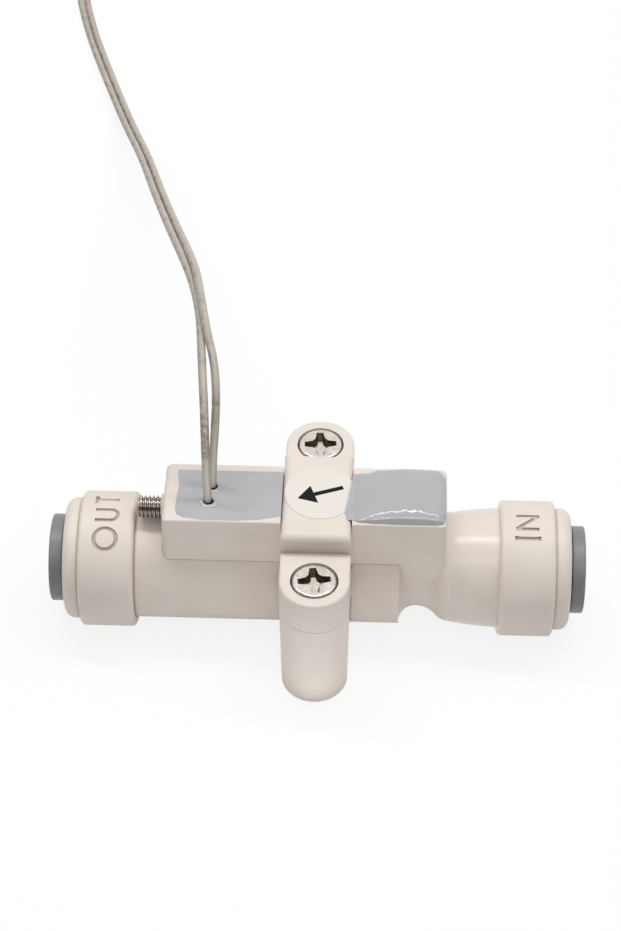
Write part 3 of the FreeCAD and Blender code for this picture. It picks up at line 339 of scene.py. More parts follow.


# Painted shade on the clamp's upright faces near its inside corners, and in the ivory mouldings' seams.
paint_occlusion_shade(clamp_acetal, CORNER_REACH, CORNER_SHADE, CORNER_SKY, upright_only=True)
paint_occlusion_shade(ivory_acetal, SEAM_REACH, SEAM_SHADE, SEAM_SKY)
# The reaches printed here are those of the painted shade.
print("dust reaches", CORNER_REACH, "mm from the clamp's corners and", SEAM_REACH, "mm from a seam")

# %% [markdown]
# ## A neck with more shine
# The inlet moulding needs the same ivory, but its waisted neck came from a polished part of the mould while
# the tray beside it is matt. Two materials would meet in a hard line, so one material lets its gloss follow
# the object's own length: matt up to the tray's end wall, smoother from there to the collar.

# %% Make the inlet's half-polished plastic
TRAY_RIGHT = 14.06
NECK_END = 20.7
POLISH_FADE = 0.7
POLISH_WAVE = 1.2
POLISH_GLOSS, POLISH_ROUGH = 0.20, 0.27


def polish_neck(material):
    """Smooths a moulded plastic between the tray's end wall and the collar, with the waves of hand polish."""
    tree = material.node_tree
    shader = tree.nodes["Principled BSDF"]
    matt = shader.inputs["Roughness"].links[0].from_socket
    place = add_node(tree, "ShaderNodeTexCoord").outputs["Object"]
    along = add_node(tree, "ShaderNodeSeparateXYZ", links={"Vector": place})
    wave = add_node(tree, "ShaderNodeTexNoise", {"Scale": per_metre(POLISH_WAVE), "Detail": 2.0},
                    {"Vector": place})
    shine = add_node(tree, "ShaderNodeMapRange",
                     {"From Min": 0.35, "From Max": 0.65, "To Min": POLISH_GLOSS, "To Max": POLISH_ROUGH},
                     {"Value": wave.outputs["Fac"]})
    middle, half = (TRAY_RIGHT + NECK_END) / 2, (NECK_END - TRAY_RIGHT) / 2
    away = add_node(tree, "ShaderNodeMath", {1: middle * MM}, {0: along.outputs["X"]}, operation="SUBTRACT")
    gap = add_node(tree, "ShaderNodeMath", links={0: away.outputs[0]}, operation="ABSOLUTE")
    share = add_node(tree, "ShaderNodeMapRange",
                     {"From Min": half * MM, "From Max": (half - POLISH_FADE) * MM},
                     {"Value": gap.outputs[0]})
    mix = add_node(tree, "ShaderNodeMix",
                   links={"Factor": share.outputs["Result"], "A": matt, "B": shine.outputs["Result"]})
    tree.links.new(mix.outputs["Result"], shader.inputs["Roughness"])


# The same acetal: soft on the tray, with narrow bright lines where the neck is polished.
polished_acetal = moulded_plastic("half_polished_acetal", "#ECE2D8", "#E6DBD1", 0.46, 0.60, 0.004)
polish_neck(polished_acetal)
print("polished from x", TRAY_RIGHT, "to", NECK_END, "mm")

# %% [markdown]
# ## Metals
# The clamp screws and the adjusting screw are steel with bright nickel plating, and tumbling in the barrel
# left small marks on it. Springs and teeth are stainless, and the contacts are brass under a thin tin wash.
# Scratches could come from a picture, but one noise that drives both tint and roughness keeps the two
# together, as a real mark does.

# %% Make the metals
TUMBLE_SIZE = 0.6


def plated_metal(name, light, dark, gloss, rough, mark_size=TUMBLE_SIZE):
    """Metal whose tint and gloss wander with marks of the given size."""
    material, tree, shader, place = start_material(name, Metallic=1.0)
    marks = add_node(tree, "ShaderNodeTexNoise",
                     {"Scale": per_metre(mark_size), "Detail": 4.0, "Roughness": 0.6}, {"Vector": place})
    tint = add_node(tree, "ShaderNodeValToRGB", links={"Fac": marks.outputs["Fac"]},
                    ramp=[(0.35, linear(dark)), (0.65, linear(light))])
    tree.links.new(tint.outputs["Color"], shader.inputs["Base Color"])
    wear = add_node(tree, "ShaderNodeMapRange",
                    {"From Min": NOISE_LOW, "From Max": NOISE_HIGH, "To Min": gloss, "To Max": rough},
                    {"Value": marks.outputs["Fac"]})
    tree.links.new(wear.outputs["Result"], shader.inputs["Roughness"])
    return material


# Barrel-plated nickel: bright and slightly warm, with soft marks.
nickel_plate = plated_metal("nickel_plated_steel", "#DDD8D2", "#CBC5BE", 0.20, 0.34)
# The same plating on a rolled thread under a film of oil: darker, with sharper reflections; its roots get
# painted shade.
oily_nickel = plated_metal("oily_nickel_thread", "#B9B4AE", "#A29C95", 0.10, 0.20)
# A recess pressed by a punch plates thinly and comes out rougher; its browner, darker tint is partly that
# thin plating and partly painted shade.
recess_shade_plate = plated_metal("punched_recess_nickel_painted_shade", "#8E7864", "#5E4C3E", 0.25, 0.45, 0.35)
# Rolled stainless strip: cool grey with an even gloss.
stainless = plated_metal("stainless_strip", "#C9CBCD", "#B4B6B8", 0.20, 0.35)
# Spring wire drawn through a die: fine lines dull it a little.
spring_wire_steel = plated_metal("drawn_spring_steel", "#B9BBBE", "#9EA0A3", 0.25, 0.40, 0.3)
# Brass under a thin wash of tin: pale, with yellow showing through.
tinned_brass = plated_metal("tinned_brass", "#D8D2BE", "#C4B98F", 0.25, 0.40)
# Copper dipped in tin: a soft warm grey.
tinned_copper = plated_metal("tin_dipped_copper", "#D2CCC4", "#BDB4AA", 0.25, 0.42)
# Solder that froze in the air: patches of bright and dull.
solder_tin = plated_metal("solder_tin", "#C6C8CA", "#A8AAAD", 0.22, 0.45, 0.8)
# Nickel-iron pressed flat for the reed's blades: even and fairly bright.
reed_nickel_iron = plated_metal("reed_nickel_iron", "#C8C6C1", "#B5B2AC", 0.22, 0.36)
print("metals:", [metal.name for metal in (nickel_plate, oily_nickel, recess_shade_plate, stainless,
                                           spring_wire_steel, tinned_brass, tinned_copper, solder_tin,
                                           reed_nickel_iron)])

# %% [markdown]
# ## Resin, rubber and ferrite
# The tray is filled with a blue-grey epoxy. On one side it was levelled and cured matt, on the other it
# stood proud and kept a wet gloss, so one function makes both from two roughnesses and a ripple in the
# skin. The ripple could be modelled, but it is so shallow that a bump in the shading looks the same. The
# O-rings are moulded nitrile rubber, and the magnet is pressed and sintered ferrite.

# %% Make the resin, the rubber and the ferrite
PIGMENT_SIZE = 2.4


def cast_resin(name, light, dark, gloss, rough, ripple, ripple_size):
    """Filled epoxy: cloudy pigment, fine dust, and gloss that depends on how its skin cured."""
    material, tree, shader, place = start_material(name, IOR=1.52)
    cloud = add_node(tree, "ShaderNodeTexNoise",
                     {"Scale": per_metre(PIGMENT_SIZE), "Detail": 5.0, "Roughness": 0.62}, {"Vector": place})
    shade = add_node(tree, "ShaderNodeValToRGB", links={"Fac": cloud.outputs["Fac"]},
                     ramp=[(0.32, linear(dark)), (0.68, linear(light))])
    tree.links.new(shade.outputs["Color"], shader.inputs["Base Color"])
    ripples = add_node(tree, "ShaderNodeTexNoise", {"Scale": per_metre(ripple_size), "Detail": 3.0},
                       {"Vector": place})
    wet = add_node(tree, "ShaderNodeMapRange",
                   {"From Min": NOISE_LOW, "From Max": NOISE_HIGH, "To Min": gloss, "To Max": rough},
                   {"Value": ripples.outputs["Fac"]})
    tree.links.new(wet.outputs["Result"], shader.inputs["Roughness"])
    bump = add_node(tree, "ShaderNodeBump", {"Strength": 1.0, "Distance": ripple * MM},
                    {"Height": ripples.outputs["Fac"]})
    tree.links.new(bump.outputs["Normal"], shader.inputs["Normal"])
    return material


# Epoxy that was levelled while it set: flat and chalky.
matt_epoxy = cast_resin("matt_blue_grey_epoxy", "#BCBCBF", "#B3B4B7", 0.55, 0.70, 0.02, 0.9)
# Epoxy left to flow: its skin stays wet to the eye and mirrors the lamps.
glossy_epoxy = cast_resin("glossy_blue_grey_epoxy", "#BABABC", "#B2B3B5", 0.035, 0.09, 0.012, 0.45)
# Moulded rubber: black and dull.
nitrile = moulded_plastic("nitrile_rubber", "#2A2A2C", "#202022", 0.5, 0.65, 0.006)
# Pressed powder, sintered hard: dark grey, with a coarser grain.
ferrite = moulded_plastic("sintered_ferrite", "#4A4A4D", "#3C3C3F", 0.45, 0.65, 0.02, 0.4)
print("cast and pressed:", [stuff.name for stuff in (matt_epoxy, glossy_epoxy, nitrile, ferrite)])

# %% [markdown]
# ## Wire sheath: what handling left
# A thin grey-beige PVC sheath was extruded over each wire. Hands gave it broad smudges and dark spots, it
# turns paler towards the resin, and a stretch of the front wire is flecked with resin. These could be
# painted on an unwrapped wire. Each has a simple rule, though, such as a height or a noise of a known size,
# so the colour is built up in layers: a function lays one rule over the colour that it gets.

# %% Layers of handling
SMUDGE_SIZE, SPOT_SIZE = 3.0, 1.2
PALER_FROM, PALER_TO = 28.5, 20.0
FLECK_HEIGHT, FLECK_SPAN, FLECK_FULL = 27.0, 3.0, 0.7
# The front leg stands on the outlet's side of this narrow strip between the legs.
BETWEEN_LEGS = (-11.40, -11.50)
GRIT_SIZE = 0.5


def handled_pvc(tree, place):
    """Broad smudges and darker finger spots; gives the smudges and the colour."""
    smudge = add_node(tree, "ShaderNodeTexNoise",
                      {"Scale": per_metre(SMUDGE_SIZE), "Detail": 6.0, "Roughness": 0.7}, {"Vector": place})
    shade = add_node(tree, "ShaderNodeValToRGB", links={"Fac": smudge.outputs["Fac"]},
                     ramp=[(0.30, linear("#8C816B")), (0.40, linear("#B9B1A4")), (0.64, linear("#C4BCAF")),
                           (0.74, linear("#DCD6CB"))])
    spot = add_node(tree, "ShaderNodeTexNoise", {"Scale": per_metre(SPOT_SIZE), "Detail": 1.0},
                    {"Vector": place})
    touched = add_node(tree, "ShaderNodeMapRange", {"From Min": 0.60, "From Max": 0.68, "To Max": 0.3},
                       {"Value": spot.outputs["Fac"]})
    smudged = add_node(tree, "ShaderNodeMix", {7: linear("#8F8676")},
                       {0: touched.outputs["Result"], 6: shade.outputs["Color"]}, data_type="RGBA")
    return smudge.outputs["Fac"], smudged.outputs[2]


def paler_foot(tree, along, leg, colour):
    """Makes each upright leg paler towards the resin."""
    down = add_node(tree, "ShaderNodeMapRange",
                    {"From Min": PALER_FROM * MM, "From Max": PALER_TO * MM},
                    {"Value": along.outputs["Z"]})
    foot = add_node(tree, "ShaderNodeMath", links={0: leg, 1: down.outputs["Result"]}, operation="MULTIPLY")
    paled = add_node(tree, "ShaderNodeMix", {7: linear("#F8EEE1")}, {0: foot.outputs[0], 6: colour},
                        data_type="RGBA")
    return paled.outputs[2]


def resin_flecks(tree, place, along, leg, colour):
    """Flecks on one stretch of the front wire; gives the colour and how far the flecks rise."""
    off_middle = add_node(tree, "ShaderNodeMath", {1: FLECK_HEIGHT * MM}, {0: along.outputs["Z"]},
                          operation="SUBTRACT")
    away = add_node(tree, "ShaderNodeMath", links={0: off_middle.outputs[0]}, operation="ABSOLUTE")
    near = add_node(tree, "ShaderNodeMapRange",
                    {"From Min": FLECK_SPAN * MM, "From Max": FLECK_SPAN * FLECK_FULL * MM},
                    {"Value": away.outputs[0]})
    front = add_node(tree, "ShaderNodeMapRange",
                     {"From Min": BETWEEN_LEGS[0] * MM, "From Max": BETWEEN_LEGS[1] * MM},
                     {"Value": along.outputs["X"]})
    on_front = add_node(tree, "ShaderNodeMath",
                        links={0: near.outputs["Result"], 1: front.outputs["Result"]}, operation="MULTIPLY")
    patch = add_node(tree, "ShaderNodeMath", links={0: on_front.outputs[0], 1: leg}, operation="MULTIPLY")
    grit = add_node(tree, "ShaderNodeTexNoise",
                    {"Scale": per_metre(GRIT_SIZE), "Detail": 4.0, "Roughness": 0.75}, {"Vector": place})
    fleck = add_node(tree, "ShaderNodeValToRGB", links={"Fac": grit.outputs["Fac"]},
                     ramp=[(0.36, linear("#6F675F")), (0.43, linear("#B5ADA4")), (0.56, linear("#C3BCB4")),
                           (0.62, linear("#E8E4DF"))])
    flecked = add_node(tree, "ShaderNodeMix",
                       links={0: patch.outputs[0], 6: colour, 7: fleck.outputs["Color"]}, data_type="RGBA")
    rise = add_node(tree, "ShaderNodeMath", links={0: patch.outputs[0], 1: grit.outputs["Fac"]},
                    operation="MULTIPLY")
    return flecked.outputs[2], rise.outputs[0]


print("smudges", SMUDGE_SIZE, "mm, spots", SPOT_SIZE, "mm, grit", GRIT_SIZE, "mm")

# %% [markdown]
# ## Wire sheath: rub marks, painted shade, and the whole of it
# The wires rub on each other and on whatever they lie against, which leaves short marks along one side.
# Their flanks are painted darker as painted shade, and each foot gets painted shade down in its hole. A
# face's direction tells a flank, so the surface normal is the rule here. The last function lays all the
# layers in order.

# %% Make the wire sheath
RUB_LENGTH = 1.8
# Heights about the resin's top between which each foot's painted shade comes in.
FOOT_ABOVE, FOOT_BELOW = 0.06, 0.16
# Only the upright legs lie in front of these two lines; the put-away coil is far behind them.
LEG_BEHIND, LEG_BEFORE = 4.0, 2.6
GRIT_RISE = 0.12


def shaded_flanks_and_rubs(tree, along, leg, colour):
    """Paints shade on both flanks, and adds short rub marks on the side towards the outlet."""
    normal = add_node(tree, "ShaderNodeNewGeometry").outputs["Normal"]
    facing = add_node(tree, "ShaderNodeSeparateXYZ", links={"Vector": normal})
    outlet_side = add_node(tree, "ShaderNodeMapRange", {"From Min": 0.1, "From Max": -0.95, "To Max": 0.45},
                           {"Value": facing.outputs["X"]})
    inlet_side = add_node(tree, "ShaderNodeMapRange", {"From Min": 0.45, "From Max": 0.95, "To Max": 0.6},
                          {"Value": facing.outputs["X"]})
    inlet_leg = add_node(tree, "ShaderNodeMath", links={0: inlet_side.outputs["Result"], 1: leg},
                         operation="MULTIPLY")
    flank = add_node(tree, "ShaderNodeMath",
                     links={0: outlet_side.outputs["Result"], 1: inlet_leg.outputs[0]}, operation="ADD")
    # Painted shade on the flanks.
    flank_shaded = add_node(tree, "ShaderNodeMix", {7: linear("#6E604E")}, {0: flank.outputs[0], 6: colour},
                    data_type="RGBA")
    rubs = add_node(tree, "ShaderNodeTexNoise", {"Scale": per_metre(RUB_LENGTH), "Detail": 1.0},
                    {"W": along.outputs["Y"]}, noise_dimensions="1D")
    rub = add_node(tree, "ShaderNodeMapRange", {"From Min": 0.53, "From Max": 0.62, "To Max": 0.42},
                   {"Value": rubs.outputs["Fac"]})
    rub_line = add_node(tree, "ShaderNodeMapRange", {"From Min": -0.30, "From Max": -0.55},
                        {"Value": facing.outputs["X"]})
    rubbed = add_node(tree, "ShaderNodeMath",
                      links={0: rub.outputs["Result"], 1: rub_line.outputs["Result"]}, operation="MULTIPLY")
    marked = add_node(tree, "ShaderNodeMix", {7: linear("#55504A")},
                      {0: rubbed.outputs[0], 6: flank_shaded.outputs[2]}, data_type="RGBA")
    return marked.outputs[2]


def paint_foot_shade(tree, along, leg, colour):
    """Paints shade on each wire down in its hole."""
    under = add_node(tree, "ShaderNodeMapRange", {"From Min": (RESIN_TOP + FOOT_ABOVE) * MM,
                                                  "From Max": (RESIN_TOP - FOOT_BELOW) * MM},
                     {"Value": along.outputs["Z"]})
    buried = add_node(tree, "ShaderNodeMath", links={0: leg, 1: under.outputs["Result"]},
                      operation="MULTIPLY")
    foot_shaded = add_node(tree, "ShaderNodeMix", {7: linear("#241F1B")}, {0: buried.outputs[0], 6: colour},
                     data_type="RGBA")
    return foot_shaded.outputs[2]


def pvc_sheath():
    """Extruded PVC: a soft shine, with its colour laid in layers, from smudges to the last painted shade."""
    material, tree, shader, place = start_material("pvc_wire_sheath", IOR=1.53)
    along = add_node(tree, "ShaderNodeSeparateXYZ", links={"Vector": place})
    on_leg = add_node(tree, "ShaderNodeMapRange",
                      {"From Min": LEG_BEHIND * MM, "From Max": LEG_BEFORE * MM},
                      {"Value": along.outputs["Y"]})
    leg = on_leg.outputs["Result"]
    smudge, colour = handled_pvc(tree, place)
    colour = paler_foot(tree, along, leg, colour)
    colour, rise = resin_flecks(tree, place, along, leg, colour)
    colour = shaded_flanks_and_rubs(tree, along, leg, colour)
    colour = paint_foot_shade(tree, along, leg, colour)
    tree.links.new(colour, shader.inputs["Base Color"])
    bump = add_node(tree, "ShaderNodeBump", {"Strength": 1.0, "Distance": GRIT_RISE * MM}, {"Height": rise})
    tree.links.new(bump.outputs["Normal"], shader.inputs["Normal"])
    wear = add_node(tree, "ShaderNodeMapRange",
                    {"From Min": NOISE_LOW, "From Max": NOISE_HIGH, "To Min": 0.32, "To Max": 0.5},
                    {"Value": smudge})
    tree.links.new(wear.outputs["Result"], shader.inputs["Roughness"])
    return material


# Thin PVC that was smooth when new: dull where it was touched, with a shine left between.
wire_pvc = pvc_sheath()
for wire in lead_wires:
    wire.data.materials.append(wire_pvc)
print("wire sheath on", [wire.name for wire in lead_wires])

# %% [markdown]
# ## Glass and set adhesive
# The reed switch is sealed in a drawn glass tube, and a drop of adhesive locks the adjusting screw. Both
# could be ideal clear shaders, but real ones are never quite even, so a slow noise clouds their roughness.
# The glass lets all its light through; the adhesive set milky and lets a quarter through.

# %% Make the clear materials
HAZE_LEAST, HAZE_MOST = 0.6, 1.4


def clear_material(name, colour, rough, ior, transmission, cloud_size):
    """Glass or adhesive, whose roughness wanders about its own value."""
    material, tree, shader, place = start_material(name, IOR=ior, Transmission_Weight=transmission)
    shader.inputs["Base Color"].default_value = linear(colour)
    cloud = add_node(tree, "ShaderNodeTexNoise", {"Scale": per_metre(cloud_size), "Detail": 3.0},
                     {"Vector": place})
    haze = add_node(tree, "ShaderNodeMapRange", {"From Min": NOISE_LOW, "From Max": NOISE_HIGH,
                                                 "To Min": rough * HAZE_LEAST, "To Max": rough * HAZE_MOST},
                    {"Value": cloud.outputs["Fac"]})
    tree.links.new(haze.outputs["Result"], shader.inputs["Roughness"])
    return material


# Drawn glass: clear, faintly green, with sharp highlights.
reed_glass = clear_material("drawn_reed_glass", "#DDE9DF", 0.04, 1.50, 1.0, 3.0)
# Adhesive that set in the open: milky, with a soft uneven shine.
thread_adhesive = clear_material("set_thread_adhesive", "#F4F3F0", 0.28, 1.46, 0.25, 0.8)
print("clear materials:", reed_glass.name, thread_adhesive.name)

# %% [markdown]
# ## Finish the solids that stay as they are
# Where a CAD solid already has the right shape, it only needs its finish. Each node's object gets one
# material in its slots; its mesh isn't touched. A table of finish and names is shorter than a line for
# every node, and it shows at a glance what is made of what.

# %% Dress the frame's own nodes
NODE_FINISH = {
    ivory_acetal: ["outlet_cap", "inlet_cap"],
    clamp_acetal: ["clamp_strap", "clamp_base"],
    grey_acetal: ["outlet_collet", "inlet_collet"],
    stainless: ["outlet_collet_teeth", "inlet_collet_teeth"],
    nitrile: ["outlet_tube_ring", "inlet_tube_ring", "spigot_ring"],
    plunger_acetal: ["piston"],
    ferrite: ["piston_magnet"],
    reed_glass: ["reed_glass"],
    reed_nickel_iron: ["reed_blade_outlet", "reed_blade_inlet"],
    tinned_copper: ["return_conductor"],
    solder_tin: ["solder_joints"],
    plug_nylon: ["connector_housing"],
    tinned_brass: ["connector_contacts"],
    tie_nylon: ["coil_tie"],
}


def dress(piece, *materials):
    """Gives a piece these materials and nothing else."""
    piece.data.materials.clear()
    for material in materials:
        piece.data.materials.append(material)


for finish, names in NODE_FINISH.items():
    for name in names:
        dress(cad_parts[name], finish)
print("dressed", sum(len(names) for names in NODE_FINISH.values()), "nodes")

# %% [markdown]
# ## Cutting into a moulding
# Marks and holes take material away. A Boolean modifier does that, but it wants one closed skin, and the
# frame's meshes have their corners split so that every face keeps its own shading. So a copy is welded
# first and then cut, and the faces that stay whole get the moulding's own normals back. Without that they
# would show faint streaks. The cutter's material stays on the walls that it leaves.

# %% Helpers for cutting
# In metres, as Blender measures a mesh.
WELD = 1e-6
SMOOTH_ANGLE = math.radians(30)
NUDGE = 0.02
SAME_WAY = 0.9


def link_mesh(name, mesh, body=HOUSING):
    """New piece for a mesh, riding on a body."""
    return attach(add_object(name, mesh), body)


def mend_shell(mesh, weld=False, outward=False):
    """Joins a mesh's split corners, turns its faces outward, or does both."""
    shell = bmesh.new()
    shell.from_mesh(mesh)
    if weld:
        bmesh.ops.remove_doubles(shell, verts=shell.verts, dist=WELD)
    if outward:
        bmesh.ops.recalc_face_normals(shell, faces=shell.faces)
    shell.to_mesh(mesh)
    shell.free()


def welded_copy(node, name):
    """Copy of a node's mesh with its split corners joined, so that it can be cut."""
    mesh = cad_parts[node].data.copy()
    mesh.name = name
    mend_shell(mesh, weld=True)
    return link_mesh(name, mesh)


def cut(piece, cutter):
    """Takes the cutter's shape out of the piece and removes the cutter."""
    modifier = piece.modifiers.new("cut", "BOOLEAN")
    modifier.operation = "DIFFERENCE"
    modifier.solver = "EXACT"
    modifier.material_mode = "TRANSFER"
    modifier.object = cutter
    bpy.context.view_layer.update()
    made = bpy.data.meshes.new_from_object(piece.evaluated_get(bpy.context.evaluated_depsgraph_get()))
    piece.modifiers.clear()
    made.name = piece.name
    piece.data = made
    bpy.data.objects.remove(cutter)


def smooth(piece):
    """Smooth shading that keeps edges sharper than the limit."""
    piece.data.shade_smooth()
    piece.data.set_sharp_from_angle(angle=SMOOTH_ANGLE)


def keep_normals(piece, node):
    """Copies the moulding's own surface normals to the faces that cutting left alone."""
    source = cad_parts[node].data
    source.calc_loop_triangles()
    triangles = [tuple(triangle.vertices) for triangle in source.loop_triangles]
    corners = [tuple(triangle.loops) for triangle in source.loop_triangles]
    true_normals = [Vector(corner.vector) for corner in source.corner_normals]
    places = [vertex.co.copy() for vertex in source.vertices]
    tree = BVHTree.FromPolygons(places, triangles)
    made = [Vector(corner.vector) for corner in piece.data.corner_normals]
    for face in piece.data.polygons:
        if face.material_index != 0:
            continue
        for loop in face.loop_indices:
            corner = piece.data.vertices[piece.data.loops[loop].vertex_index].co
            inward = corner + (face.center - corner) * NUDGE
            spot, normal, found, _ = tree.find_nearest(inward)
            if normal.dot(face.normal) < SAME_WAY:
                continue
            a, b, c = (true_normals[index] for index in corners[found])
            made[loop] = barycentric_transform(spot, *(places[index] for index in triangles[found]), a, b, c)
    piece.data.normals_split_custom_set([tuple(normal.normalized()) for normal in made])


print("corners closer than", WELD / MM, "mm are welded")

# %% [markdown]
# ## Strokes of the port marks
# Each socket's collar has its port mark sunk into it, sideways, reading from the front to the back. Text
# objects can't bend round a cylinder and keep an even stroke, so the letters are drawn as a few straight
# strokes and arcs on the unrolled collar.

# %% Draw the port marks
STROKE = 0.23
MARK_HEIGHT = 2.92
ARC_STEPS = 24
LINE_STEPS = 8


def arc(centre_u, centre_v, half_u, half_v, start, end):
    """Points of an elliptic arc on the unrolled collar, angles in degrees."""
    turns = [math.radians(start + (end - start) * step / ARC_STEPS) for step in range(ARC_STEPS + 1)]
    return [(centre_u + half_u * math.cos(turn), centre_v + half_v * math.sin(turn)) for turn in turns]


def straight(first, last):
    """Points of a straight stroke, close enough together to wrap round the collar."""
    return [(first[0] + (last[0] - first[0]) * step / LINE_STEPS,
             first[1] + (last[1] - first[1]) * step / LINE_STEPS) for step in range(LINE_STEPS + 1)]


low, high = STROKE, MARK_HEIGHT - STROKE
middle = MARK_HEIGHT / 2
# Half widths of the letters, and the height at which a letter's bend begins.
ROUND_HALF, BEND_HALF, BEND_RISE, BAR_HALF = 1.22, 0.73, 0.95, 0.72
SERIF_HALF, SLANT_HALF = 0.26, 0.95
# Each letter: its angle from the collar's crown towards the front, and its strokes from the mark's foot up.
OUTLET_MARK = [
    (26.45, [arc(0, middle, ROUND_HALF, middle - STROKE, 0, 360)]),
    (3.6, [straight((-BEND_HALF, high), (-BEND_HALF, BEND_RISE))
           + arc(0, BEND_RISE, BEND_HALF, BEND_RISE - STROKE, 180, 360)[1:]
           + straight((BEND_HALF, BEND_RISE), (BEND_HALF, high))[1:]]),
    (-16.3, [straight((-BAR_HALF, high), (BAR_HALF, high)), straight((0, high), (0, low))]),
]
INLET_MARK = [
    (17.15, [straight((0, low), (0, high)), straight((-SERIF_HALF, high), (SERIF_HALF, high)),
             straight((-SERIF_HALF, low), (SERIF_HALF, low))]),
    (0.75, [straight((-SLANT_HALF, low), (-SLANT_HALF, high)),
            straight((-SLANT_HALF, high), (SLANT_HALF, low)),
            straight((SLANT_HALF, low), (SLANT_HALF, high))]),
]
print("marks of", len(OUTLET_MARK), "and", len(INLET_MARK), "letters,", MARK_HEIGHT, "mm high")

# %% [markdown]
# ## Cut the port marks
# The mould carried the marks as round-nosed ridges, so the grooves have round bottoms. A flat cutter would
# leave square ones, so each stroke is wrapped on the cylinder, swept by a round bevel and cut out of a
# welded copy of the moulding. The grooves are painted a little darker, as painted shade.

# %% Engrave the two mouldings
AXIS_HEIGHT = 7.52
COLLAR_RADIUS = 7.5
STROKE_SINK = 0.06
OUTLET_MARK_BASE = -21.64
INLET_MARK_BASE = 24.45


def stroke_cutter(points, crown_angle, base):
    """Round-nosed stroke wrapped on a collar; its letters stand towards the outlet end."""
    curve = bpy.data.curves.new("stroke", "CURVE")
    curve.dimensions = "3D"
    curve.bevel_depth = STROKE * MM
    curve.bevel_resolution = 2
    curve.use_fill_caps = True
    spline = curve.splines.new("POLY")
    closed = (Vector(points[0]) - Vector(points[-1])).length < STROKE / 10
    points = points[:-1] if closed else points
    spline.points.add(len(points) - 1)
    reach = COLLAR_RADIUS - STROKE_SINK
    for control, (along, above) in zip(spline.points, points):
        turn = math.radians(crown_angle) - along / COLLAR_RADIUS
        control.co = ((base - above) * MM, -reach * math.sin(turn) * MM,
                      (AXIS_HEIGHT + reach * math.cos(turn)) * MM, 1)
    spline.use_cyclic_u = closed
    drawn = add_object("stroke", curve)
    bpy.context.view_layer.update()
    mesh = bpy.data.meshes.new_from_object(drawn.evaluated_get(bpy.context.evaluated_depsgraph_get()))
    bpy.data.objects.remove(drawn)
    mend_shell(mesh, weld=True, outward=True)
    return add_object("stroke_cutter", mesh)


# The same acetal down in the grooves, where no polish reaches: duller, and painted darker as painted shade.
groove_acetal = moulded_plastic("shade_painted_groove_acetal", "#DCCFC2", "#D2C4B6", 0.5, 0.65, 0.006)
# More painted shade in the grooves' corners.
paint_occlusion_shade(groove_acetal, SEAM_REACH, GROOVE_SHADE, SEAM_SKY)


def engrave(node, name, mark, base, material):
    """Welded copy of a moulding with its port mark cut in."""
    piece = welded_copy(node, name)
    dress(piece, material)
    for crown_angle, strokes in mark:
        for points in strokes:
            cutter = stroke_cutter(points, crown_angle, base)
            dress(cutter, groove_acetal)
            cut(piece, cutter)
    smooth(piece)
    keep_normals(piece, node)
    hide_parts(node)
    print(name, "has", len(piece.data.polygons), "faces after",
          sum(len(strokes) for _, strokes in mark), "cuts")


engrave("outlet_body", "outlet_moulding", OUTLET_MARK, OUTLET_MARK_BASE, ivory_acetal)
engrave("inlet_body", "inlet_moulding", INLET_MARK, INLET_MARK_BASE, polished_acetal)

# %% [markdown]
# ## Resin in the tray
# The resin was poured into the tray on either side of the strap. On the outlet side it was levelled to the
# rim and smeared over the front wall; on the inlet side it stands proud in a soft dome that almost reaches
# the edges. A fluid simulation could pour it, but not to this outline. So each pour is a closed sheet
# between two height functions, on a grid that is stretched to the pour's own edges.

# %% Helpers for poured resin
TRAY_TOP = 18.38
TRAY_IN_LEFT, TRAY_IN_RIGHT = -15.14, 13.06
TRAY_IN_HALF = 3.36
POUR_FLOOR = 16.45
STRAP_HALF = 3.8
STRAP_GAP = 0.03
TRAY_LEFT, TRAY_HALF = -16.71, 4.36
RIM_ROUND = 0.2
RIM_BITE = 0.01


def rim_height(x, y):
    """Height of the tray's rim, which is rounded off at its outer edge."""
    inset = min(TRAY_HALF - abs(y), x - TRAY_LEFT, TRAY_RIGHT - x)
    outward = RIM_ROUND - min(max(inset, 0.0), RIM_ROUND)
    return TRAY_TOP - RIM_ROUND + math.sqrt(RIM_ROUND ** 2 - outward ** 2)


def ease(share):
    """Smooth step from 0 to 1."""
    share = min(max(share, 0.0), 1.0)
    return share * share * (3 - 2 * share)


def along_line(points, place):
    """Smooth value at a place on a line given by a few (place, value) points."""
    if place <= points[0][0]:
        return points[0][1]
    for (start, low_value), (end, high_value) in zip(points, points[1:]):
        if place <= end:
            return low_value + (high_value - low_value) * ease((place - start) / (end - start))
    return points[-1][1]


def mesh_of(name, points, faces):
    """Mesh from points in millimetres and the faces between them."""
    mesh = bpy.data.meshes.new(name)
    mesh.from_pydata([tuple(value * MM for value in point) for point in points], [], faces)
    return mesh


def pour_heights(edges, grid, top_height, crowd):
    """Top and bottom points of a pour, column by column."""
    left, right, front, back = edges
    columns, rows = grid
    tops, bottoms = [], []
    for column in range(columns + 1):
        for row in range(rows + 1):
            share, rise = column / columns, (row / rows) ** crowd
            guess_y = -TRAY_IN_HALF + 2 * TRAY_IN_HALF * rise
            x_left, x_right = along_line(left, guess_y), along_line(right, guess_y)
            x = x_left + (x_right - x_left) * share
            y_front, y_back = along_line(front, x), along_line(back, x)
            y = y_front + (y_back - y_front) * rise
            rim = min(share * (x_right - x_left), (1 - share) * (x_right - x_left),
                      rise * (y_back - y_front), (1 - rise) * (y_back - y_front))
            inside = (TRAY_IN_LEFT < x < TRAY_IN_RIGHT and abs(x) > STRAP_HALF + STRAP_GAP
                      and abs(y) < TRAY_IN_HALF and 0 < row < rows)
            tops.append((x, y, top_height(x, y, rim)))
            bottoms.append((x, y, POUR_FLOOR if inside else rim_height(x, y) - RIM_BITE))
    return tops, bottoms


